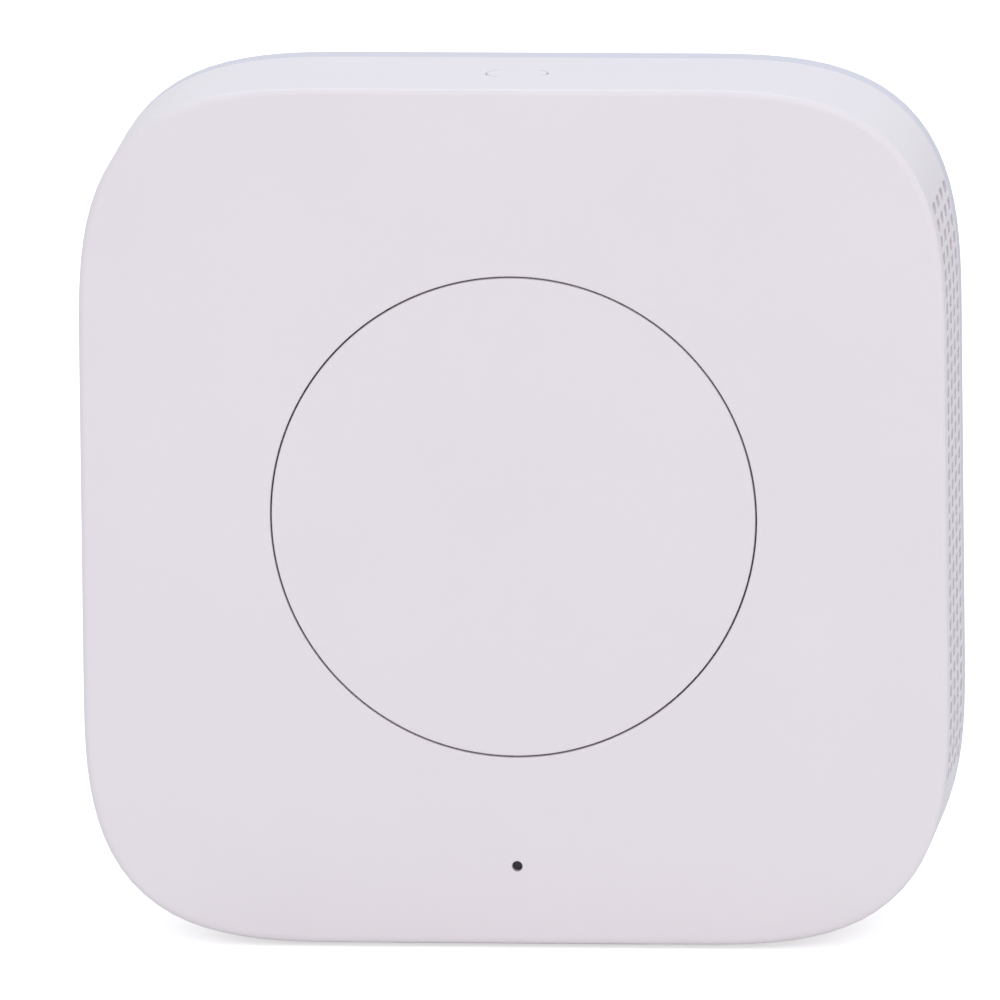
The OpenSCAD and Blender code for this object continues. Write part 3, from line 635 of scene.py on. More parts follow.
def circuit(name, mask, track, pad_colour):
    """A circuit board: solder mask over tracks, with small plated pads."""
    finish = Finish(name, Coat_Weight=0.3, Coat_Roughness=0.25)
    x, _, z = finish.axes()
    slope, lane_pitch, lane_width, cross_pitch, cross_width = 0.5, 1.1, 0.22, 2.3, 0.25
    lane = (x + z * slope).repeat(lane_pitch) < lane_width
    cross = (z - x * slope).repeat(cross_pitch) < cross_width
    flow = finish.noise(7.0, detail=0.0)
    along = (lane * (flow > 0.5)).at_least(cross * (flow < 0.5))
    pitch_x, pitch_z, radius_squared = 2.9, 3.7, 0.12
    dots_x, dots_z = x.repeat(pitch_x) - pitch_x / 2, z.repeat(pitch_z) - pitch_z / 2
    pads = (dots_x * dots_x + dots_z * dots_z) < radius_squared
    copper = finish.blend(along, mask, track)
    finish.colour(finish.blend(pads, copper, pad_colour))
    finish.metallic(pads * 0.9)
    finish.roughness(0.42 - pads * 0.14 + (finish.noise(0.3) - 0.5) * 0.1)
    finish.bump(along * 0.6 + pads * 0.3 + finish.noise(0.25) * 0.1, 0.03)
    return finish.material


def woven(name, base, pitch=0.42):
    """Speaker cloth: two sets of round threads that pass over and under each other, with painted shade
    where they dip.
    """
    finish = Finish(name, Specular_IOR_Level=0.25, Sheen_Weight=0.3, Sheen_Roughness=0.5)
    _, y, z = finish.axes()
    warp, weft = (y * (math.pi / pitch)).sine(), (z * (math.pi / pitch)).sine()
    over = (warp * weft) > 0.0
    height = over * abs(warp) + (1 - over) * abs(weft)
    fluff = finish.noise(0.07, detail=3.0)
    # Painted shade: each thread is darker where it dips away from its crown. The fluff adds a random
    # tone on top.
    finish.colour(
        finish.blend(height * 0.8 + (fluff - 0.5) * 0.4, tinted(base, 0.55), tinted(base, 1.1))
    )
    finish.roughness(0.8 + (fluff - 0.5) * 0.2)
    finish.bump(height + fluff * 0.2, 0.08)
    return finish.material


def foam(name, base, cell=0.5, depth=0.12):
    """Open foam or pressed fibre, with small pores that have painted shade in their hollows."""
    finish = Finish(name, Specular_IOR_Level=0.2)
    cells = finish.node(
        "ShaderNodeTexVoronoi",
        {"feature": "F1"},
        {"Vector": finish.place(), "Scale": 1 / (cell * MM)},
        "Distance",
    )
    # Painted shade: darker in the middle of each cell, where the bump sinks a pore, and lighter on the
    # ridges between them.
    finish.colour(finish.blend(cells, tinted(base, 0.6), tinted(base, 1.3)))
    finish.roughness(0.85 + (finish.noise(0.2) - 0.5) * 0.2)
    finish.bump(cells, depth)
    return finish.material


def striped(name, base, line, pitch, share, axis=0, metal=0.0):
    """A thin film with straight conductors along it."""
    finish = Finish(name)
    across = finish.axes()[axis]
    lines = across.repeat(pitch) < pitch * share
    finish.colour(finish.blend(lines, base, line))
    finish.metallic(lines * metal)
    finish.roughness(0.45 - lines * 0.1 + (finish.noise(0.3) - 0.5) * 0.1)
    finish.bump(lines, 0.02)
    return finish.material


def capacitor_finish(name):
    """A can of bright metal that stands on a dark base."""
    finish = Finish(name)
    _, y, _ = finish.axes()
    base_height = 0.7
    base_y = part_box("filter_capacitors")[1].y / MM - base_height
    base = y > base_y
    grain = finish.noise(0.1, detail=3.0, factors=(1, 0.1, 1))
    finish.colour(finish.blend(base, (0.72, 0.73, 0.75, 1), (0.03, 0.03, 0.035, 1)))
    finish.metallic(1 - base)
    finish.roughness(0.3 + base * 0.25 + (grain - 0.5) * 0.15)
    finish.bump(grain, 0.004)
    return finish.material


def led_finish(name):
    """A small light: a yellow phosphor window in a white body."""
    finish = Finish(name)
    x, _, z = finish.axes()
    low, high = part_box("status_led")
    middle = (low.z + high.z) / 2 / MM
    off_z = z - middle
    window = (x * x + off_z * off_z) < 0.3
    finish.colour(finish.blend(window, (0.82, 0.82, 0.8, 1), (0.85, 0.72, 0.2, 1)))
    finish.roughness(0.45 - window * 0.25 + (finish.noise(0.2) - 0.5) * 0.1)
    finish.bump(window, 0.03)
    return finish.material


def all_finishes(colours):
    """Every finish by the name of the slot that it stands for."""
    white, cool, cloth = tuple(colours.shell), tuple(colours.cover), tuple(colours.cloth)
    return {
        "shell_white": moulded("shell plastic", white),
        "button_white": moulded("button plastic", tuple(colours.button)),
        "cover_white": moulded("cover plastic", cool, roughness=0.46),
        "inner_grey": moulded("glass filled plastic", (0.42, 0.42, 0.43, 1), 0.55, 0.4, 0.012, 0.08),
        "rubber_grey": moulded("rubber", (0.11, 0.11, 0.115, 1), 0.75, 0.12, 0.012, 0.1),
        "zinc_screw": brushed("zinc", (0.66, 0.67, 0.7, 1), 0.34, 0.15, (1, 1, 1)),
        "spring_steel": brushed("spring steel", (0.6, 0.6, 0.63, 1), 0.28, 0.06, (1, 1, 1)),
        "board_green": circuit(
            "solder mask", (0.012, 0.11, 0.045, 1), (0.03, 0.2, 0.085, 1), (0.83, 0.64, 0.3, 1)
        ),
        "chip_black": moulded("chip resin", (0.022, 0.022, 0.024, 1), 0.5, 0.15, 0.006, 0.15),
        "shield_tin": brushed("tin plate", (0.74, 0.75, 0.77, 1), 0.3, 0.12, (0.08, 1, 1)),
        "pad_blue": moulded("thermal pad", (0.2, 0.38, 0.55, 1), 0.7, 0.5, 0.03, 0.1),
        "plate_aluminium": brushed("aluminium", (0.82, 0.83, 0.84, 1), 0.28, 0.07, (0.03, 1, 1)),
        "module_blue": circuit(
            "blue mask", (0.01, 0.05, 0.16, 1), (0.03, 0.1, 0.27, 1), (0.83, 0.64, 0.3, 1)
        ),
        "crystal_can": brushed("crystal can", (0.7, 0.7, 0.72, 1), 0.22, 0.1, (0.1, 1, 1)),
        "ferrite": foam("ferrite", (0.06, 0.06, 0.065, 1), 0.12, 0.01),
        "capacitor_can": capacitor_finish("capacitor"),
        "socket_black": moulded("socket resin", (0.035, 0.035, 0.038, 1), 0.45, 0.2, 0.008, 0.1),
        "contact_gold": brushed("gold plate", (0.93, 0.7, 0.32, 1), 0.22, 0.05, (0.1, 1, 1)),
        "socket_steel": brushed("nickel plate", (0.66, 0.65, 0.63, 1), 0.24, 0.1, (0.1, 1, 1)),
        "basket_black": moulded("basket resin", (0.03, 0.03, 0.03, 1), 0.5, 0.3, 0.01, 0.1),
        "magnet_nickel": brushed("magnet plate", (0.6, 0.59, 0.57, 1), 0.26, 0.2, (1, 1, 0.1)),
        "cone_black": foam("cone paper", (0.035, 0.035, 0.037, 1), 0.25, 0.02),
        "gasket_foam": foam("gasket foam", (0.04, 0.04, 0.042, 1), 0.4, 0.1),
        "connector_ivory": moulded("ivory resin", (0.72, 0.68, 0.56, 1), 0.42, 0.2, 0.005, 0.04),
        "wire_cover": moulded("wire cover", (0.03, 0.03, 0.033, 1), 0.4, 0.1, 0.003, 0.1),
        "cloth_grey": woven("speaker cloth", cloth),
        "antenna_film": striped(
            "antenna film", (0.03, 0.03, 0.035, 1), (0.7, 0.42, 0.22, 1), 4.0, 0.4, 0, 0.8
        ),
        "led_white": led_finish("led"),
        "lens_smoke": moulded("smoked lens", (0.012, 0.012, 0.013, 1), 0.25, 0.3, 0.002, 0.1),
        "plunger_gold": brushed("brass", (0.86, 0.68, 0.36, 1), 0.3, 0.1, (1, 0.1, 1)),
        "switch_black": moulded("switch resin", (0.03, 0.03, 0.032, 1), 0.45, 0.2, 0.006, 0.1),
        "ribbon_film": striped(
            "ribbon film", (0.72, 0.71, 0.64, 1), (0.6, 0.45, 0.28, 1), 0.5, 0.55, 0
        ),
        "label_silver": moulded("label film", (0.62, 0.62, 0.63, 1), 0.5, 0.5, 0.002, 0.02),
    }


FINISHES = {}
# The slot of each node
SLOTS = {part["node"]: part["material_slot"] for part in frame["record"]["subparts"]}


# ---- Pieces ----


def middle_of(node):
    """The middle of a CAD node, in millimetres about the body's centre."""
    low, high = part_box(node)
    return OUT_OF_FRAME @ ((low + high) / 2)


def half_size_of(node):
    low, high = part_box(node)
    return (high - low) / (2 * MM)


def slot_cutters(bm, body, grille):
    """One flared cutter for each sound slot. Its mouth follows the curve of the wall."""
    pitch, height = mm(grille.row_pitch), mm(grille.slot_height)
    corner, mouth = mm(grille.slot_corner), mm(grille.mouth)
    half_y, half_z = mm(grille.slot_length) / 2, height / 2
    half, corner_size = HALF_WIDTH, mm(body.corner)

    def wall(sunk):
        def depth(z):
            past = max(0.0, (abs(z) - half + corner_size) / corner_size)
            return half - corner_size + corner_size * (1 - past**body.power) ** (1 / body.power) - sunk

        return depth

    behind_wall = 1.6
    inside = half - mm(body.wall) - behind_wall
    for column in range(grille.columns):
        y = Y_FACE + mm(grille.start) + column * mm(grille.column_pitch) + half_y
        for row in range(grille.rows):
            z = row * pitch - mm(grille.drop) + half_z
            slot = sized(side, half_y, half_z, corner, (y, z))
            stations = [slot(0, inside), slot(0, wall(mouth)), slot(mouth, wall(0))]
            skin(bm, [*stations, slot(mouth, half + OVER)], 16)


def opening_cutter(bm, shape, surface, inward, edge, deep, segments):
    """Cuts an opening whose mouth is eased. surface is the level that it is cut into, and
    inward is 1 or -1."""
    stations = [
        shape(edge, surface - inward * OVER),
        shape(edge, surface),
        shape(0, surface + inward * edge),
        shape(0, surface + inward * deep),
    ]
    skin(bm, stations, segments)


def shell_cutters(bm, body, grille, controls):
    """What is cut out of the shell besides the main button's opening."""
    slot_cutters(bm, body, grille)
    wall, edge, past = mm(body.wall), mm(controls.opening_edge), 1.0
    pin_centre = (0, -mm(controls.pin_drop))

    def pin(grow, y):
        return ring(mm(controls.pin_hole) / 2 + grow, y, pin_centre)

    opening_cutter(bm, pin, Y_FACE, 1, mm(controls.pin_edge), wall + OVER, 40)
    gap = mm(controls.pair_gap)
    half_x, half_y = mm(controls.pair_length) / 2 + gap, mm(controls.pair_width) / 2 + gap
    pair = sized(pad, half_x, half_y, half_y, (0, Y_FACE + mm(controls.pair_depth)))
    opening_cutter(bm, pair, HALF_WIDTH, -1, edge, wall + past, 64)
    # Each socket, the clearance round it and the corner of its opening
    sockets = (
        ("network_jack", 0.1, 0.3),
        ("power_socket", 0.2, half_size_of("power_socket").y + 0.2),
    )
    for node, clearance, corner in sockets:
        middle, half = middle_of(node), half_size_of(node)
        half_y, half_z = half.y + clearance, half.z + clearance
        socket = sized(side, half_y, half_z, corner, (middle.y, middle.z))
        opening_cutter(bm, socket, -HALF_WIDTH, 1, edge, wall + past, 64)
    foot, half = middle_of("foot"), half_size_of("foot")
    recess = sized(pad, half.x, half.y, half.y, (0, foot.y))
    depth = half.z * 2 - SHELL_LOW.z / MM
    floor, outside = depth - HALF_WIDTH, -HALF_WIDTH - OVER
    skin(bm, [recess(RECESS_GAP, outside), recess(RECESS_GAP, floor)], 96)


def post_places(body):
    reach = HALF_WIDTH - mm(body.post_inset)
    return [(x * reach, z * reach) for x in (-1, 1) for z in (-1, 1)]


def spring_places(controls):
    reach = mm(controls.spring_ring)
    angles = [math.radians(90 + 120 * i) for i in range(3)]
    return [(reach * math.cos(angle), reach * math.sin(angle)) for angle in angles]


class HUB_OT_front_shell(Operator):
    """Make the face and side walls, with every opening in them"""

    bl_idname = "hub.front_shell"
    bl_label = "Front Shell"

    def execute(self, context):
        scene = context.scene
        body, grille, controls = scene.hub_body, scene.hub_grille, scene.hub_controls
        wall, fillet, seam = mm(body.wall), mm(body.face_fillet), mm(body.seam)
        roll, edge = mm(body.face_roll), mm(controls.opening_edge)
        groove = mm(controls.groove)
        hole = mm(controls.button) / 2 + mm(controls.button_gap)
        y_inside = Y_FACE + wall
        inner_fillet = 0.8
        outside = [
            rim(body, seam, Y_SPLIT),
            rim(body, 0, Y_SPLIT - seam),
            *[
                rim(body, inset, y)
                for inset, y in quarter((0, Y_FACE + fillet), (roll, Y_FACE), 8, False)
            ],
            rim(body, roll + BAND, Y_FACE),
        ]
        opening = [
            ring(hole + edge + BAND, Y_FACE),
            *[ring(hole + r, y) for r, y in quarter((edge, Y_FACE), (0, Y_FACE + groove), 5)],
            ring(hole, y_inside - edge),
            ring(hole + edge, y_inside),
        ]
        inside = [
            *[
                rim(body, wall + inset, y)
                for inset, y in quarter((inner_fillet, y_inside), (0, y_inside + inner_fillet), 4)
            ],
            rim(body, wall, Y_SPLIT - seam),
            rim(body, wall - seam, Y_SPLIT),
        ]
        bm = new_mesh()
        # The lead keeps the walls' edges off those of the openings that are cut through them
        skin(bm, outside + opening + inside, OUTLINE_SEGMENTS, "joined", lead=0.4)
        piece = make_object("front_shell_moulding", bm)
        cutters = new_mesh()
        shell_cutters(cutters, body, grille, controls)
        cut_away(piece, make_object("shell_cutters", cutters))
        join(piece, make_object("inner_posts", self.inner_posts(body, controls, y_inside)))
        shade(piece)
        settle(piece, "hub_body", "shell_white", "front_shell")
        return {"FINISHED"}

    @staticmethod
    def inner_posts(body, controls, y_inside):
        """Screw posts, the light guide's sleeve and the two ribs that hold the speaker."""
        bm = new_mesh()
        y_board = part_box("main_board")[0].y / MM
        y_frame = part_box("button_frame")[0].y / MM
        root = y_inside - SUNK
        for place in post_places(body):
            post(bm, place, mm(body.post_radius), CASE_PILOT, root, y_board, CASE_PILOT_DEPTH)
        reach = half_size_of("frame_screws").x - FRAME_SCREW_HEAD
        for x in (-reach, reach):
            for z in (-reach, reach):
                place, deep = (x, z), FRAME_PILOT_DEPTH
                post(bm, place, FRAME_POST, FRAME_PILOT, root, y_frame, deep, 24, 0.05)
        # The sleeve round the light guide
        bore, outer, back, ease = 1.55, 2.4, y_inside + 4, 0.1
        sleeve = [
            (bore, root),
            (outer, root),
            (outer, back - ease),
            (outer - ease, back),
            (bore + ease, back),
            (bore, back - ease),
            (bore, root),
        ]
        lathe(bm, sleeve, 32, (0, -mm(controls.pin_drop)))
        basket, half = middle_of("speaker_basket"), half_size_of("speaker_basket")
        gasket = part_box("speaker_gasket")[1].x / MM
        # Half of a rib's thickness, and how far its middle is from the basket
        rib, off = 0.5, 0.8
        for z in (-1, 1):
            edge = z * (half.z + off)
            low = (basket.x - half.x, root, edge - rib)
            block(bm, low, (gasket - 0.4, basket.y + 2, edge + rib), 0.12)
        return bm


class HUB_OT_main_button(Operator):
    """Make the round button: cap, skirt, flange, stub and spring pegs"""

    bl_idname = "hub.main_button"
    bl_label = "Main Button"

    def execute(self, context):
        controls = context.scene.hub_controls
        radius, edge = mm(controls.button) / 2, mm(controls.opening_edge)
        flange = half_size_of("main_button").x
        y_cap_back = Y_FACE + mm(controls.cap)
        y_flange = Y_FACE + mm(context.scene.hub_body.wall) + FLANGE_GAP
        y_flange_back = y_flange + mm(controls.cap_flange)
        ease, skirt, fillet, inner_fillet = 0.08, 1.4, 0.2, 0.3
        bore = radius - skirt
        stub_radius, peg_radius, peg_length = 2.5, 1.95, 1.4
        bm = new_mesh()
        profile = [
            (0, Y_FACE),
            (radius * 0.5, Y_FACE),
            (radius - edge - BAND, Y_FACE),
            *quarter((radius - edge, Y_FACE), (radius, Y_FACE + mm(controls.groove)), 5),
            *quarter((radius, y_flange - fillet), (radius + fillet, y_flange), 3, False),
            (flange - ease, y_flange),
            (flange, y_flange + ease),
            (flange, y_flange_back - ease),
            (flange - ease, y_flange_back),
            (bore + ease, y_flange_back),
            (bore, y_flange_back - ease),
            *quarter((bore, y_cap_back + inner_fillet), (bore - inner_fillet, y_cap_back), 3, False),
            (0, y_cap_back),
        ]
        lathe(bm, profile, OUTLINE_SEGMENTS)
        y_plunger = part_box("main_switch_plunger")[0].y / MM
        self.peg(bm, (0, 0), stub_radius, y_cap_back, y_plunger, 32)
        for place in spring_places(controls):
            self.peg(bm, place, peg_radius, y_cap_back, y_cap_back + peg_length, 24)
        finished("main_button_cap", bm, "main_button", "button_white", "main_button")
        return {"FINISHED"}

    @staticmethod
    def peg(bm, centre, radius, front, back, segments):
        root, ease = front - SUNK, 0.15
        profile = [(0, root), (radius, root), (radius, back - ease), (radius - ease, back)]
        lathe(bm, [*profile, (0, back)], segments, centre)


class HUB_OT_button_springs(Operator):
    """Coil the three springs that return the main button"""

    bl_idname = "hub.button_springs"
    bl_label = "Button Springs"

    def execute(self, context):
        controls = context.scene.hub_controls
        low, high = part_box("button_springs")
        wire, coil = mm(controls.spring_wire) / 2, mm(controls.spring_coil)
        front, back = low.y / MM + wire, high.y / MM - wire
        steps = controls.spring_turns * 24
        bm = new_mesh()
        for x, z in spring_places(controls):
            centre = Vector((x, 0, z))
            start = bmesh.ops.create_circle(bm, cap_ends=True, radius=wire, segments=8)["verts"]
            bmesh.ops.translate(bm, vec=centre + Vector((coil, front, 0)), verts=start)
            edges = list({edge for vert in start for edge in vert.link_edges})
            bmesh.ops.spin(
                bm,
                geom=start + list(start[0].link_faces) + edges,
                cent=centre,
                axis=(0, 1, 0),
                dvec=(0, (back - front) / steps, 0),
                angle=2 * math.pi * controls.spring_turns,
                steps=steps,
                use_merge=False,
                use_duplicate=False,
            )
        piece = make_object("button_spring_coils", bm)
        piece.data.shade_smooth()
        settle(piece, "hub_body", "spring_steel", "button_springs")
        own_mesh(piece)
        return {"FINISHED"}


class HUB_OT_pair_button(Operator):
    """Make the small oblong button in the top side"""

    bl_idname = "hub.pair_button"
    bl_label = "Pairing Button"

    def execute(self, context):
        controls = context.scene.hub_controls
        half_x, half_y = mm(controls.pair_length) / 2, mm(controls.pair_width) / 2
        edge, ease, rib = mm(controls.opening_edge), 0.06, 1.5
        middle, half = middle_of("pair_button"), half_size_of("pair_button")
        top, y = HALF_WIDTH, Y_FACE + mm(controls.pair_depth)
        flange = half.x - half_x
        z_flange = top - mm(context.scene.hub_body.wall) - FLANGE_GAP
        z_under = z_flange - mm(controls.cap_flange)
        cap = sized(pad, half_x, half_y, half_y, (0, y))
        stations = [
            cap(-0.5, top),
            cap(-edge - 0.1, top),
            *[cap(grow, z) for grow, z in quarter((-edge, top), (0, top - edge), 3)],
            cap(0, z_flange),
            cap(flange - ease, z_flange),
            cap(flange, z_flange - ease),
            cap(flange, z_under + ease),
            cap(flange - ease, z_under),
        ]
        bm = new_mesh()
        skin(bm, stations, 96)
        y_rib_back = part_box("pair_switch_plunger")[1].y / MM
        low, high = (-rib, y - rib, middle.z - half.z), (rib, y_rib_back, z_under + SUNK)
        block(bm, low, high, 0.15)
        finished("pair_button_cap", bm, "pair_button", "button_white", "pair_button")
        return {"FINISHED"}


class HUB_OT_rear_cover(Operator):
    """Make the back cover, with its rim, keyholes, recesses and lip"""

    bl_idname = "hub.rear_cover"
    bl_label = "Back Cover"

    def execute(self, context):
        body = context.scene.hub_body
        wall, seam, fillet = mm(body.wall), mm(body.seam), mm(body.back_fillet)
        draft = mm(body.back_draft)
        y_inside = Y_BACK - wall
        inner = wall + LIP_GAP + mm(body.lip_wall)
        start, end = (draft, Y_BACK - fillet), (draft + fillet, Y_BACK)
        bm = new_mesh()
        stations = [
            rim(body, inner, y_inside),
            rim(body, inner, Y_SPLIT),
            rim(body, seam, Y_SPLIT),
            rim(body, 0, Y_SPLIT + seam),
            rim(body, 0, Y_SPLIT + 1),
            *[rim(body, inset, y) for inset, y in quarter(start, end, 6, False)],
            rim(body, draft + fillet + 0.2, Y_BACK),
        ]
        skin(bm, stations, OUTLINE_SEGMENTS)
        piece = make_object("rear_cover_moulding", bm)
        cutters = new_mesh()
        self.recess_cutters(cutters, body, y_inside)
        cut_away(piece, make_object("cover_cutters", cutters))
        join(piece, make_object("inner_parts", self.inner_parts(body, y_inside)))
        join(piece, self.locating_lip(body))
        shade(piece)
        settle(piece, "hub_body", "cover_white", "rear_cover")
        return {"FINISHED"}

    @staticmethod
    def keyhole_cutter(bm, x, body):
        """The round entry and the slot above it, as one flared outline."""
        entry, slot, rise = mm(body.keyhole) / 2, mm(body.keyhole_slot) / 2, mm(body.keyhole_rise)
        # Half of the turn that the end of the slot takes up
        bend = math.radians(60)

        def outline(grow, y):
            def place(turn):
                big, small = entry + grow, slot + grow
                meet = math.asin(small / big)
                share = (turn + math.pi / 2) % (2 * math.pi) - math.pi
                if abs(share) > bend:
                    spread = (abs(share) - bend) / (math.pi - bend)
                    angle, radius, up = meet + (math.pi - meet) * spread, big, 0
                else:
                    angle, radius, up = math.pi / 2 * abs(share) / bend, small, rise
                across = math.copysign(radius * math.sin(angle), share)
                return Vector(
                    (x - across, y, KEYHOLE_RISE_FROM_CENTRE + up + radius * math.cos(angle))
                )

            return place

        opening_cutter(bm, outline, Y_BACK, -1, mm(body.keyhole_lip), mm(body.wall) + 1, 72)

    def recess_cutters(self, bm, body, y_inside):
        for s in (-1, 1):
            self.keyhole_cutter(bm, s * mm(body.keyhole_spacing) / 2, body)
        pad_half = half_size_of("rear_pads")
        ease = 0.1
        radius = pad_half.x - HALF_WIDTH + mm(body.post_inset) + ease
        floor = Y_BACK - pad_half.y * 2
        profile = [
            (0, Y_BACK + OVER),
            (radius + ease, Y_BACK + OVER),
            (radius + ease, Y_BACK),
            (radius, Y_BACK - ease),
            (radius, floor),
            (CASE_SCREW_HEAD_HOLE, floor),
            (CASE_SCREW_HEAD_HOLE, y_inside - 1),
            (0, y_inside - 1),
        ]
        for place in post_places(body):
            lathe(bm, profile, 48, place)
        plate, half = middle_of("label_plate"), half_size_of("label_plate")
        recess = sized(panel, half.x, half.z, mm(body.label_corner), (0, plate.z))
        floor = Y_BACK - half.y * 2
        skin(bm, [recess(RECESS_GAP, Y_BACK + OVER), recess(RECESS_GAP, floor)], 64)

    @staticmethod
    def inner_parts(body, y_inside):
        """Screw bosses and the keyholes' pockets."""
        bm = new_mesh()
        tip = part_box("main_board")[1].y / MM
        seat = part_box("case_screws")[1].y / MM - CASE_SCREW_HEAD_HEIGHT
        root, outer, ease = y_inside + SUNK, 3.7, 0.1
        boss = [
            (CASE_SCREW_HOLE, tip + ease),
            (CASE_SCREW_HOLE + ease, tip),
            (outer - ease, tip),
            (outer, tip + ease),
            (outer, root),
            (CASE_SCREW_HEAD_HOLE, root),
            (CASE_SCREW_HEAD_HOLE, seat),
            (CASE_SCREW_HOLE, seat),
            (CASE_SCREW_HOLE, tip + ease),
        ]
        for place in post_places(body):
            lathe(bm, boss, 48, place)
        front, wall, inner, edge = tip + 0.5, 0.8, 4.2, 0.15
        half_rise = mm(body.keyhole_rise) / 2
        for s in (-1, 1):
            x, z = s * mm(body.keyhole_spacing) / 2, KEYHOLE_RISE_FROM_CENTRE + half_rise
            pocket = sized(panel, inner, inner + half_rise, inner, (x, z))
            stations = [
                pocket(0, front + wall),
                pocket(0, root),
                pocket(wall, root),
                pocket(wall, front + edge),
                pocket(wall - edge, front),
            ]
            skin(bm, stations, 64)
        return bm

    @staticmethod
    def locating_lip(body):
        """The lip round the cover's front, left out where the speaker stands."""
        outer = mm(body.wall) + LIP_GAP
        inner, front, ease = outer + mm(body.lip_wall), Y_SPLIT - mm(body.lip), 0.2
        bm = new_mesh()
        stations = [
            rim(body, outer, Y_SPLIT + SUNK),
            rim(body, outer, front + ease),
            rim(body, outer + ease, front),
            rim(body, inner - ease, front),
            rim(body, inner, front + ease),
            rim(body, inner, Y_SPLIT + SUNK),
        ]
        skin(bm, stations, OUTLINE_SEGMENTS, "joined")
        lip = make_object("lip", bm)
        low, high = (OUT_OF_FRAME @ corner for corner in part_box("grille_cloth"))
        deep, clearance, past = 6, 0.2, 2
        bm = new_mesh()
        start = (high.x - deep, low.y, low.z - clearance)
        block(bm, start, (high.x + past, high.y + 3, high.z + clearance))
        cut_away(lip, make_object("lip_cutter", bm))
        return lip


class HUB_OT_rubber_parts(Operator):
    """Make the foot and the four pads on the back"""

    bl_idname = "hub.rubber_parts"
    bl_label = "Foot and Pads"

    def execute(self, context):
        body = context.scene.hub_body
        middle, half = middle_of("foot"), half_size_of("foot")
        low, high, ease, groove, dip = middle.z - half.z, middle.z + half.z, 0.2, 1.2, 0.15
        strip = sized(pad, half.x, half.y, half.y, (0, middle.y))
        stations = [
            strip(-groove, low + dip),
            strip(dip - groove, low),
            strip(-ease, low),
            strip(0, low + ease),
            strip(0, high),
        ]
        bm = new_mesh()
        skin(bm, stations, 128)
        finished("foot_strip", bm, "hub_body", "rubber_grey", "foot")
        pads_half = half_size_of("rear_pads")
        radius = pads_half.x - (HALF_WIDTH - mm(body.post_inset))
        hollow, front = Y_BACK - 0.12, Y_BACK - pads_half.y * 2
        rim_foot, rim_top, bend = radius - 1, radius - 0.9, 0.06
        profile = [
            (0, hollow),
            (rim_foot, hollow),
            (rim_top, Y_BACK),
            (radius - ease, Y_BACK),
            (radius - bend, Y_BACK - bend),
            (radius, Y_BACK - ease),
            (radius, front),
            (0, front),
        ]
        bm = new_mesh()
        for place in post_places(body):
            lathe(bm, profile, 64, place)
        finished("rear_pad_discs", bm, "hub_body", "rubber_grey", "rear_pads")
        return {"FINISHED"}


class HUB_OT_label_plate(Operator):
    """Make the blank plate on the back"""

    bl_idname = "hub.label_plate"
    bl_label = "Label Plate"

    def execute(self, context):
        middle, half = middle_of("label_plate"), half_size_of("label_plate")
        corner, ease = mm(context.scene.hub_body.label_corner), 0.05
        front, back = middle.y - half.y, middle.y + half.y
        plate = sized(panel, half.x, half.z, corner, (0, middle.z))
        bm = new_mesh()
        skin(bm, [plate(0, front), plate(0, back - ease), plate(-ease, back)], 64)
        finished("label_film", bm, "hub_body", "label_silver", "label_plate")
        return {"FINISHED"}


class HUB_OT_eased_parts(Operator):
    """Ease the hard edges of the moulded and pressed parts inside"""

    bl_idname = "hub.eased_parts"
    bl_label = "Eased Parts"

    # Each node and the width of its eased edges in millimetres
    parts = (
        ("network_jack", 0.12),
        ("power_socket", 0.06),
        ("power_tongue", 0.08),
        ("processor", 0.08),
        ("memory_chip", 0.08),
        ("heat_spreader", 0.15),
        ("processor_shield", 0.08),
        ("radio_shield", 0.12),
        ("thermal_pad", 0.15),
        ("crystal", 0.2),
        ("speaker_basket", 0.15),
        ("speaker_magnet", 0.2),
        ("speaker_gasket", 0.15),
        ("speaker_socket", 0.1),
        ("ribbon_sockets", 0.08),
        ("main_switch_body", 0.12),
        ("pair_switch_body", 0.12),
    )

    def execute(self, context):
        crease = math.radians(50)
        for node, width in self.parts:
            bm = bmesh.new()
            bm.from_mesh(frame["nodes"][node].data)
            bmesh.ops.remove_doubles(bm, verts=bm.verts, dist=1e-7)
            bmesh.ops.dissolve_limit(
                bm,
                angle_limit=math.radians(1),
                use_dissolve_boundaries=False,
                verts=bm.verts,
                edges=bm.edges,
            )
            mesh = bpy.data.meshes.new(node + "_eased")
            bm.to_mesh(mesh)
            bm.free()
            piece = bpy.data.objects.new(node + "_eased", mesh)
            context.scene.collection.objects.link(piece)
            mesh.shade_smooth()
            bevel = piece.modifiers.new("ease", "BEVEL")
            bevel.width = width * MM
            bevel.segments = 2
            bevel.limit_method = "ANGLE"
            bevel.angle_limit = crease
            bevel.harden_normals = True
            mesh.set_sharp_from_angle(angle=crease)
            settle(piece, "hub_body", SLOTS[node], node)
        return {"FINISHED"}


class HUB_OT_cad_finishes(Operator):
    """Give every part that keeps its CAD shape its own finish"""

    bl_idname = "hub.cad_finishes"
    bl_label = "CAD Finishes"

    def execute(self, context):
        for name, node in frame["nodes"].items():
            node.data.materials.clear()
            node.data.materials.append(FINISHES[SLOTS[name]])
        return {"FINISHED"}


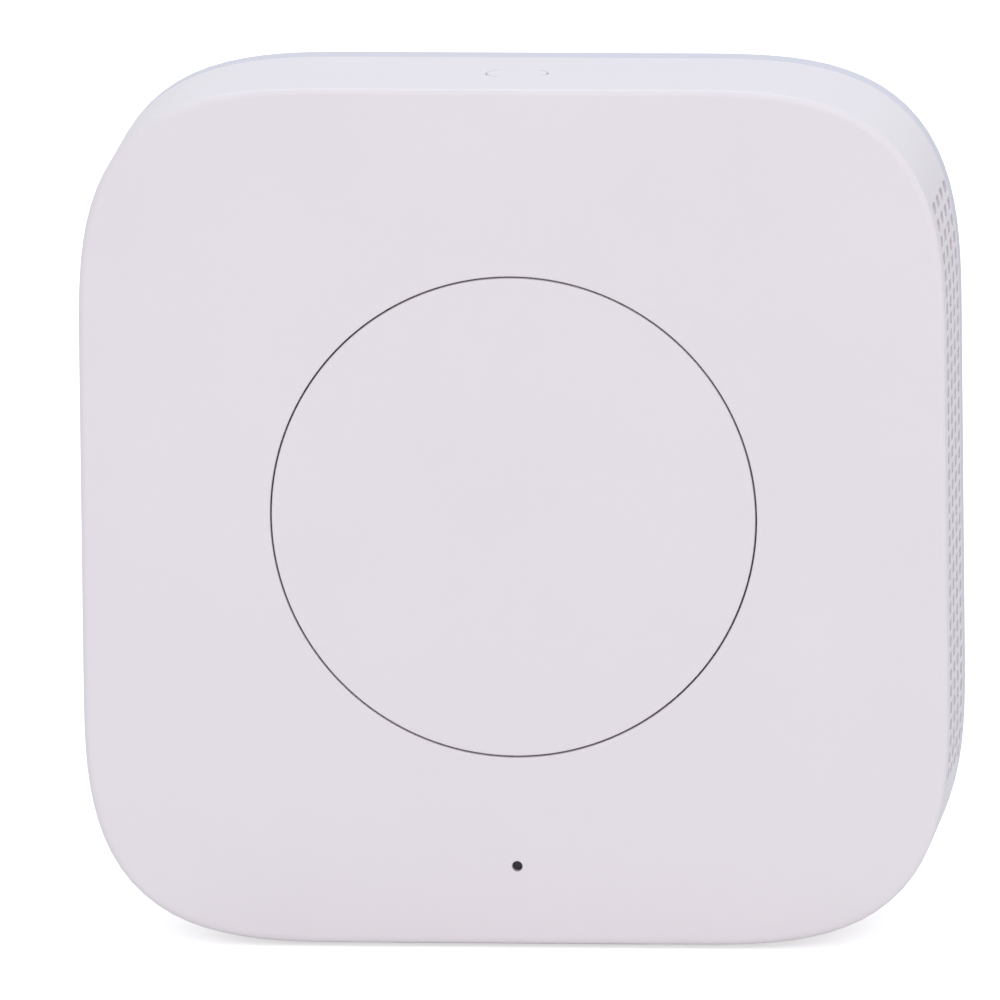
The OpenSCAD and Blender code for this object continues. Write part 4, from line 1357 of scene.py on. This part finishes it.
class HUB_OT_stage(Operator):
    """Set up the floor, the lights, the world and the camera"""

    bl_idname = "hub.stage"
    bl_label = "Stage"

    def execute(self, context):
        scene = context.scene
        self.floor(scene)
        self.world(scene)
        self.lights(scene)
        self.camera(scene)
        scene.view_settings.view_transform = "Standard"
        return {"FINISHED"}

    @staticmethod
    def floor(scene):
        bm = bmesh.new()
        bmesh.ops.create_grid(bm, x_segments=1, y_segments=1, size=3.0)
        mesh = bpy.data.meshes.new("floor")
        bm.to_mesh(mesh)
        bm.free()
        floor = bpy.data.objects.new("floor", mesh)
        scene.collection.objects.link(floor)
        finish = Finish("floor", Roughness=0.9, Specular_IOR_Level=0.1)
        finish.shader.inputs["Base Color"].default_value = tuple(scene.hub_colours.floor)
        seen = finish.node("ShaderNodeLightPath", output="Is Camera Ray")
        glow = (0.6, 0.6, 0.6, 1)
        finish.feed("Emission Color", finish.blend(seen, (0, 0, 0, 1), glow))
        finish.shader.inputs["Emission Strength"].default_value = 1.0
        mesh.materials.append(finish.material)

    @staticmethod
    def world(scene):
        world = bpy.data.worlds.new("studio")
        scene.world = world
        world.use_nodes = True
        nodes = Nodes(world.node_tree)
        camera_ray, glossy_ray = (
            nodes.node("ShaderNodeLightPath", output=f"Is {kind} Ray") for kind in ("Camera", "Glossy")
        )
        sky = nodes.blend(camera_ray.at_least(glossy_ray), (0.62, 0.63, 0.66, 1), (1, 1, 1, 1))
        background = world.node_tree.nodes["Background"]
        world.node_tree.links.new(sky.socket, background.inputs["Color"])

    @staticmethod
    def lights(scene):
        aim = Vector((0, 0, CENTRE_Z))
        lamps = (
            ("key", (0.15, -1.3, 0.5), 1.0, 4.7, (1.0, 0.954, 0.962)),
            ("top", (0.0, 0.1, 1.3), 0.9, 5.2, (0.725, 0.89, 1.0)),
            ("fill", (1.3, -0.5, 0.2), 0.9, 1.3, (1.0, 0.98, 1.0)),
        )
        for name, place, size, power, tint in lamps:
            light = bpy.data.lights.new(name, "AREA")
            light.shape = "DISK"
            light.size = size
            light.energy = power
            light.color = tint
            lamp = bpy.data.objects.new(name, light)
            lamp.location = place
            lamp.rotation_mode = "QUATERNION"
            lamp.rotation_quaternion = (aim - Vector(place)).to_track_quat("-Z", "Y")
            scene.collection.objects.link(lamp)

    @staticmethod
    def camera(scene):
        """A long view of the face, from a little above and a little to the right."""
        turn, rise, roll = (math.radians(a) for a in (5.356, 10.480, 0.650))
        right = Vector((math.cos(turn), math.sin(turn), 0))
        back = Vector(
            (math.sin(turn) * math.cos(rise), -math.cos(turn) * math.cos(rise), math.sin(rise))
        )
        level_right, level_up = right, back.cross(right)
        right = level_right * math.cos(roll) - level_up * math.sin(roll)
        up = level_right * math.sin(roll) + level_up * math.cos(roll)
        face = Vector((0, Y_FACE * MM, CENTRE_Z))
        aside, above = 1.3685, 1.8095
        aim = face - right * aside * MM + up * above * MM
        distance, seen_width = 4.2, 103.516 * MM
        camera = bpy.data.cameras.new("camera")
        camera.lens = camera.sensor_width * distance / seen_width
        camera.clip_start = 0.1
        camera.clip_end = 20.0
        viewer = bpy.data.objects.new("camera", camera)
        turned = Matrix((right, up, back)).transposed()
        viewer.matrix_world = Matrix.Translation(aim + back * distance) @ turned.to_4x4()
        scene.collection.objects.link(viewer)
        scene.camera = viewer


class HUB_PT_panel(Panel):
    """Lists the steps that build the hub"""

    bl_label = "Hub"
    bl_idname = "HUB_PT_panel"
    bl_space_type = "VIEW_3D"
    bl_region_type = "UI"
    bl_category = "Hub"

    def draw(self, context):
        layout = self.layout
        for group in ("hub_body", "hub_grille", "hub_controls", "hub_colours"):
            settings = getattr(context.scene, group)
            box = layout.box()
            for name in settings.__annotations__:
                box.prop(settings, name)
        for step in STEPS:
            layout.operator(step.bl_idname)


GROUPS = {
    "hub_body": HubBody,
    "hub_grille": HubGrille,
    "hub_controls": HubControls,
    "hub_colours": HubColours,
}
STEPS = (
    HUB_OT_cad_finishes,
    HUB_OT_front_shell,
    HUB_OT_main_button,
    HUB_OT_button_springs,
    HUB_OT_pair_button,
    HUB_OT_rear_cover,
    HUB_OT_rubber_parts,
    HUB_OT_label_plate,
    HUB_OT_eased_parts,
    HUB_OT_stage,
)
CLASSES = (*GROUPS.values(), *STEPS, HUB_PT_panel)


def register():
    for cls in CLASSES:
        bpy.utils.register_class(cls)
    for name, group in GROUPS.items():
        setattr(bpy.types.Scene, name, PointerProperty(type=group))


def unregister():
    for name in GROUPS:
        delattr(bpy.types.Scene, name)
    for cls in reversed(CLASSES):
        bpy.utils.unregister_class(cls)


def clear_start():
    """Removes the cube, lamp and camera that a new file may hold."""
    for name in ("Cube", "Light", "Camera"):
        thing = bpy.data.objects.get(name)
        if thing is not None:
            bpy.data.objects.remove(thing)


def main():
    register()
    clear_start()
    FINISHES.update(all_finishes(bpy.context.scene.hub_colours))
    for step in STEPS:
        getattr(bpy.ops.hub, step.bl_idname.split(".")[1])()


if __name__ == "__main__":
    main()
